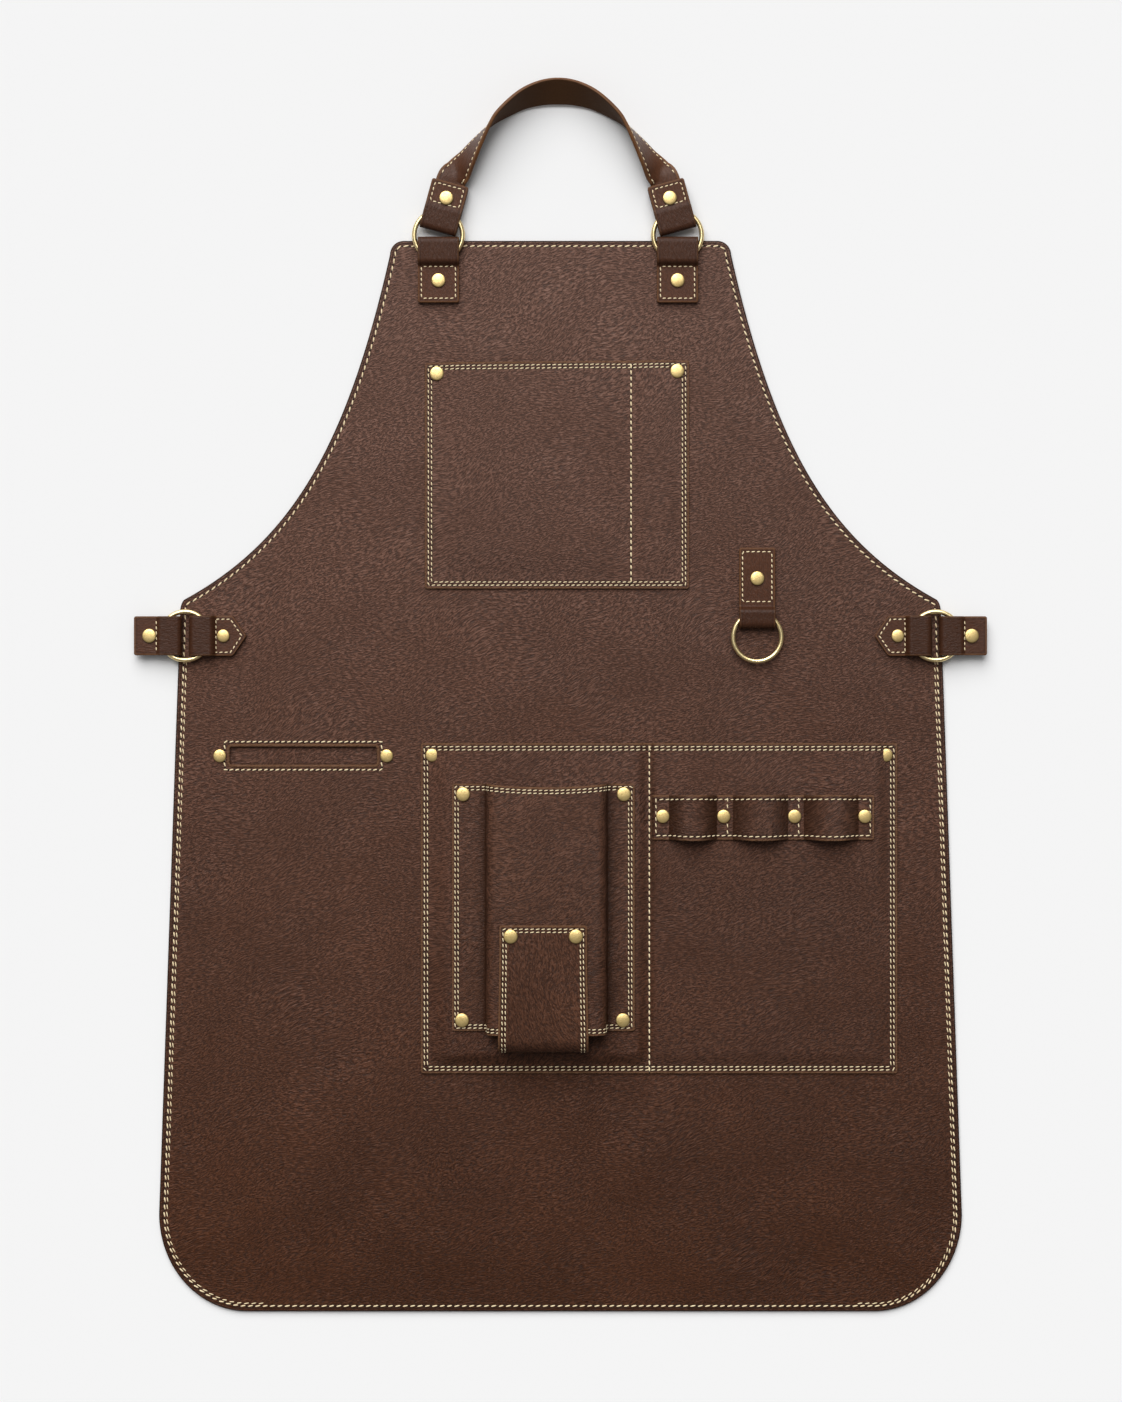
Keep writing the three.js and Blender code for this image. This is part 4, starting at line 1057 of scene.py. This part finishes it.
# ---- folded tabs ----

def fold_path(tab):
    """A folded strip's middle line in its section, (distance from the fold, height): in along
    the back leg, round the fold and out along the front leg."""
    reach = RING_RADIUS + WIRE_RADIUS - tab["offset"] + 0.3
    closed = reach + tab.get("descent", 3.0)
    length = closed + tab["tail"]
    legs = [(length, tab["back"]), (closed, tab["back"]), (reach, RING_Z - 3.3), (3.3, RING_Z - 3.3)]
    fold = arc(3.3, RING_Z, 3.3, 3.3, 270, 90, 14)
    out = [(reach - 0.6, RING_Z + 3.3), (closed - 0.4, tab["front"]), (length, tab["front"])]
    level = abs(tab["back"] - (RING_Z - 3.3)) < 0.01
    back = np.array([legs[0], legs[3]]) if level else rounded(legs, [2.5, 2.5], 5)
    ahead = rounded([(3.3, RING_Z + 3.3), *out], [2.2, 1.6], 6)
    return np.vstack([back[:-1], fold, ahead[1:]]), length, closed


def folded_tab(name, node_name, tab, place, seams):
    """A tab folded round a ring: its section carried across its width, and its seams.

    place(along, across, z) puts the tab's own directions on the apron. A pointed tab's two ends
    are moved in by point times the share out from its middle.
    """
    path, length, closed = fold_path(tab)
    at, flat = section(path)
    width = tab["width"]
    point = tab.get("point", 0)

    def lay(s, w, h):
        a, z = at(s, h)
        return place(a, w + 0 * h, z)

    def outline(s, w):
        out = point * np.abs(w) / (width / 2)
        return s + out * (1 - smooth(s, 0, 19)) - out * smooth(s, flat - 19, flat), w

    shut = flat - (length - closed)
    rivet_at = shut + tab["rivet"]

    def press(s, w, d):
        return 0.25 * np.exp(-((s - rivet_at) ** 2 + w ** 2) / 49)
    # The last argument marks painted shade at half strength over the back leg, the fold and the
    # raised front leg, fading where the legs close.
    piece = leather_strip(name, flat, width, TAB_THICK, lay, STRAP_HIDE,
                          lines(flat, 1.1, (1.5, 2.2, 3.0)), lines(width, 1.3, (1.5, 2.2, 3.0)),
                          1.8, 0.85, press, outline if point else None,
                          lambda s: 0.5 * (1 - smooth(s, shut - 4, shut + 1.5)))
    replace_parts(piece, node_name)
    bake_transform(piece)
    flat_seams = [np.stack([flat - (length - seam[:, 0]), seam[:, 1]], axis=1) for seam in seams]
    thread = sewn(f"{name}_stitches", flat_seams, lay, 0.78, None, 4.2, 1.05, 0.74, 8)
    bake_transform(thread)
    return piece


def turned(x, y, degrees):
    """A place function: the tab's along direction turned from +X, its fold at (x, y)."""
    c, s = math.cos(math.radians(degrees)), math.sin(math.radians(degrees))

    def place(a, b, z):
        return np.stack([x + a * c - b * s, y + a * s + b * c, z + 0 * a], axis=-1)
    return place


def seam_box(near, far, half, corner=2.0):
    """A closed seam on a tab, between two distances from its fold and this far each side."""
    return box_seam(near, -half, far, half, corner)


LOWER_TAB = {"width": 33, "offset": 2, "rivet": 11.4, "tail": 29.1, "back": 4.4, "front": 6.3}
UPPER_TAB = {"width": 30, "offset": 3.6, "rivet": 5.6, "tail": 18.5, "back": 5.0, "front": 10.4}
TOOL_TAB = {"width": 28.8, "offset": 7.7, "rivet": 22.4, "tail": 46.9, "back": 4.4, "front": 6.3}
WAIST_TAB = {"width": 32.2, "offset": 3.8, "rivet": 5.8, "tail": 24.3, "point": 11,
             "back": 4.4, "front": 6.3}
STRAP_END = {"width": 31.2, "offset": 3.4, "descent": 1.0, "rivet": 5.9, "tail": 18.3,
             "back": 6.75, "front": 8.65}


def upper_place(side, s):
    """The place s along an upper tab from its fold."""
    lean = math.radians(15.3)
    return np.array([NECK_X + side * (NECK_RING_X + 0.6 - s * math.sin(lean)),
                     NECK_RING_Y + 3.6 + s * math.cos(lean)])


def build_tabs():
    """Every tab that is folded round a ring."""
    for word, side in SIDES:
        x = NECK_X + side * NECK_RING_X
        folded_tab(f"lower_neck_tab_{word}", f"neck_tab_lower_{word}", LOWER_TAB,
                   turned(x, NECK_RING_Y - 2, -90), [seam_box(22.6, 48.2, 13.6)])
        at = upper_place(side, 0)
        folded_tab(f"upper_neck_tab_{word}", f"neck_tab_upper_{word}", UPPER_TAB,
                   turned(at[0], at[1], 90 + side * 15.3), [seam_box(21.4, 36.4, 11.8)])
        fold = side * 295.6
        point = np.array([[20.0, 13.2], [20.0, -13.2], [32.2, -13.2], [41.2, 0], [32.2, 13.2],
                          [20.0, 13.2]])
        folded_tab(f"pointed_waist_tab_{word}", f"waist_tab_{word}", WAIST_TAB,
                   turned(fold, WAIST_Y, 180 if side > 0 else 0), [point])
        folded_tab(f"waist_strap_stub_{word}", f"waist_strap_end_{word}", STRAP_END,
                   turned(side * 302.8, WAIST_Y, 0 if side > 0 else 180),
                   [np.array([[19.2, 12.5], [19.2, -12.5]])])
    folded_tab("tool_tab", "tool_ring_tab", TOOL_TAB, turned(157, 54.7, 90),
               [seam_box(20.6, 60.4, 11.7)])


# ---- neck strap ----

def strap_route():
    """Stops of the strap's middle line, and its roll at each: straight out of each tab, then
    over the arch while it rolls outwards."""
    turns = np.array([[0.834, 0.13, 20], [0.76, 0.265, 48], [0.671, 0.443, 67],
                      [0.574, 0.62, 84], [0.482, 0.742, 98], [0.304, 0.9, 116],
                      [0.147, 0.977, 130], [0, 1, 137]])
    tucked = np.array([upper_place(-1, s) for s in (22.5, 31.5, 42.9)])
    roll = np.concatenate([[0, 0, 0], turns[:, 2]])
    x = np.concatenate([tucked[:, 0], NECK_X - turns[:, 0] * NECK_RING_X])
    y = np.concatenate([tucked[:, 1], 409.2 + turns[:, 1] * 73])
    lean = (24 * np.sin(np.radians(roll)) + 3 * np.abs(np.cos(np.radians(roll)))) / 2
    z = np.where(roll == 0, RING_Z, np.maximum(RING_Z, lean + 0.3))
    half = np.stack([x, y, z, roll], axis=1)
    mirrored = half[-2::-1] * [-1, 1, 1, 1] + [2 * NECK_X, 0, 0, 0]
    return np.vstack([half, mirrored])


def spline(stops, count):
    """A curve through its stops: between two stops, the cubic whose slope at each is half the
    step from the stop before to the stop after."""
    padded = np.vstack([2 * stops[0] - stops[1], stops, 2 * stops[-1] - stops[-2]])
    u = np.linspace(0, len(stops) - 1, count)
    k = np.minimum(u.astype(int), len(stops) - 2)
    t = (u - k)[:, None]
    a, b, c, d = (padded[k + n] for n in range(4))
    return 0.5 * (2 * b + (c - a) * t + (2 * a - 5 * b + 4 * c - d) * t ** 2
                  + (3 * b - a - 3 * c + d) * t ** 3)


ROUTE = spline(strap_route(), 900)
ROUTE_REACH = distances(ROUTE[:, :3])
ROUTE_ON = unit(np.gradient(ROUTE[:, :3], axis=0))
ROUTE_IN = unit(np.cross(ROUTE_ON, [0.0, 0.0, 1.0]))
ROUTE_UP = np.cross(ROUTE_IN, ROUTE_ON)
ROUTE_ROLL = np.radians(ROUTE[:, 3:4])
ROUTE_WIDE = ROUTE_IN * np.cos(ROUTE_ROLL) + ROUTE_UP * np.sin(ROUTE_ROLL)
ROUTE_THROUGH = np.cross(ROUTE_ON, ROUTE_WIDE)


def strap_lay(s, w, h):
    """The neck strap: a ribbon along its route, rolled about it as it goes."""
    def at(values):
        return np.stack([np.interp(s, ROUTE_REACH, values[:, k]) for k in range(3)], axis=-1)
    w = w + 0 * h
    return at(ROUTE[:, :3]) + at(ROUTE_WIDE) * w[..., None] - at(ROUTE_THROUGH) * h[..., None]


def build_strap():
    """The neck strap, with a row of stitches near each edge by its two ends."""
    total = ROUTE_REACH[-1]
    strap = leather_strip("neck_loop_strap", total, 24, 3.0, strap_lay, NECK_HIDE,
                          lines(total, 1.4, (1.5, 2.2)),
                          lines(24, 1.3, (1.5, 2.2, 3.0)), 1.0, 1.0,
                          lambda s, w, d: 0.15 * bell(d, 2.9, 0.6))
    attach(strap, "neck_strap")
    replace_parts(strap, "neck_strap")
    seams = []
    for start, end in ((19.5, 92.0), (total - 92.0, total - 19.5)):
        seams += [np.array([[start, w], [end, w]]) for w in (-9.1, 9.1)]
    sewn("neck_strap_stitches", seams, strap_lay, 1.3, "neck_strap", 4.2, 0.95, 0.68, 6)


# ---- brass ----

def rivet(name, x, y, underside, topside, body, cap=5.6):
    """A two-piece cap rivet: a flat back cap, a post, and a domed front cap with a rolled rim.

    The dome's height is 1.2 + 0.6 sqrt(1 - (r / R)^2) over the leather.
    """
    back = underside - 0.1
    front = topside + 0.02
    share = np.array([0.97, 0.9, 0.78, 0.6, 0.4, 0.2])
    dome = np.stack([cap * share, front + 1.2 + 0.6 * np.sqrt(1 - share ** 2)], axis=1)
    profile = np.vstack([
        [[0, back - 1.3], [3.6, back - 1.3], [4.2, back - 1.1], [4.5, back - 0.7], [4.4, back - 0.1],
         [4.1, back], [1.6, back], [1.6, front], [cap * 0.93, front], [cap * 0.99, front + 0.25],
         [cap, front + 0.75], [cap * 0.99, front + 1.15]], dome, [[0, front + 1.8]]])
    piece = lathe(name, profile, x, y, RIVET_BRASS)
    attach(piece, body)
    return piece


def build_brass():
    """All the rivets and rings, each in the place of its own node."""
    def set_rivet(node_name, x, y, low, high, body="apron", cap=5.6):
        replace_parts(rivet(f"cap_{node_name}", x, y, low, high, body, cap), node_name)
    for i, (x, y) in enumerate(BIB_RIVETS):
        set_rivet(f"bib_pocket_rivet_{i + 1}", x, y, PANEL_BACK, POCKET_FRONT)
    for i, (x, y) in enumerate(TOOL_RIVETS):
        set_rivet(f"tool_pocket_rivet_{i + 1}", x, y, PANEL_BACK, POCKET_FRONT, cap=5.2)
    for i, (x, y) in enumerate(SLOT_RIVETS):
        set_rivet(f"slot_rivet_{i + 1}", x, y, PANEL_BACK, PANEL_FRONT, cap=5.2)
    for i, (x, y) in enumerate(HOLSTER_RIVETS):
        set_rivet(f"holster_rivet_{i + 1}", x, y, FLANGE_BACK, FLANGE_FRONT)
    for i, (x, y) in enumerate(TONGUE_RIVETS):
        set_rivet(f"holster_strap_rivet_{i + 1}", x, y, TONGUE_BACK, TONGUE_FRONT)
    for i, (x, y) in enumerate(LOOP_RIVETS):
        set_rivet(f"tool_loop_rivet_{i + 1}", x, y, FLANGE_BACK, LOOP_FRONT, cap=5.4)
    set_rivet("tool_ring_tab_rivet", 157, 93.9, PANEL_BACK, TAB_FRONT)
    for word, side in SIDES:
        x = NECK_X + side * NECK_RING_X
        set_rivet(f"neck_tab_lower_rivet_{word}", x, 331.7, PANEL_BACK, TAB_FRONT)
        at = upper_place(side, 26.5)
        set_rivet(f"neck_tab_upper_rivet_{word}", at[0], at[1], 4.1, 11.3, "neck_strap")
        set_rivet(f"waist_tab_rivet_{word}", side * 269.1, WAIST_Y, PANEL_BACK, TAB_FRONT, cap=5.1)
        set_rivet(f"waist_strap_end_rivet_{word}", side * 327.8, WAIST_Y, 5.85, 9.55,
                  f"waist_strap_end_{word}")
        for node_name, cx, cy in ((f"neck_ring_{word}", x, NECK_RING_Y),
                                  (f"waist_ring_{word}", side * WAIST_RING_X, WAIST_Y)):
            ring = ring_of_wire(f"brass_{node_name}", cx, cy, BRASS)
            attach(ring, node_name)
            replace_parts(ring, node_name)
    ring = ring_of_wire("brass_tool_ring", 157, 47, BRASS)
    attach(ring, "tool_ring")
    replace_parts(ring, "tool_ring")


# ---- the studio ----

def soft_sun(name, energy, wide, tilt):
    """A far light this many degrees wide, tilted about X and then Y by two angles in degrees."""
    lamp = bpy.data.lights.new(name, "SUN")
    lamp.energy = energy
    lamp.angle = math.radians(wide)
    holder = bpy.data.objects.new(name, lamp)
    bpy.context.scene.collection.objects.link(holder)
    holder.rotation_euler = (math.radians(tilt[0]), math.radians(tilt[1]), 0)


def build_studio():
    """A pale floor, a wide soft light and a narrower one, both from beyond the neck, thin air
    light, and a camera straight above."""
    bpy.ops.mesh.primitive_plane_add(size=30, location=(0, 0, -0.0003))
    floor = bpy.context.object
    floor.name = "floor"
    paint, _, shader = new_finish("floor_paint")
    shader.inputs["Base Color"].default_value = (0.86, 0.86, 0.86, 1)
    shader.inputs["Roughness"].default_value = 0.9
    shader.inputs["Specular IOR Level"].default_value = 0.1
    floor.data.materials.append(paint)

    soft_sun("soft_window", 3.09, 56, (-44, -12))
    soft_sun("neck_glow", 0.56, 26, (-19, -5))

    world = bpy.data.worlds.new("studio_air")
    world.use_nodes = True
    world.node_tree.nodes["Background"].inputs["Color"].default_value = (1, 1, 1, 1)
    world.node_tree.nodes["Background"].inputs["Strength"].default_value = 0.2
    bpy.context.scene.world = world
    bpy.context.scene.view_settings.view_transform = "Standard"

    lens = bpy.data.cameras.new("overhead_camera")
    lens.sensor_fit = "VERTICAL"
    lens.sensor_height = 36
    lens.lens = 78.6
    camera = bpy.data.objects.new("overhead_camera", lens)
    camera.location = (0.0004, -0.004, 2.45)
    bpy.context.scene.collection.objects.link(camera)
    bpy.context.scene.camera = camera


build_studio()
panel_seams(build_panel())
build_slot()
build_pockets()
build_holster()
build_brass()
build_strap()
build_tabs()
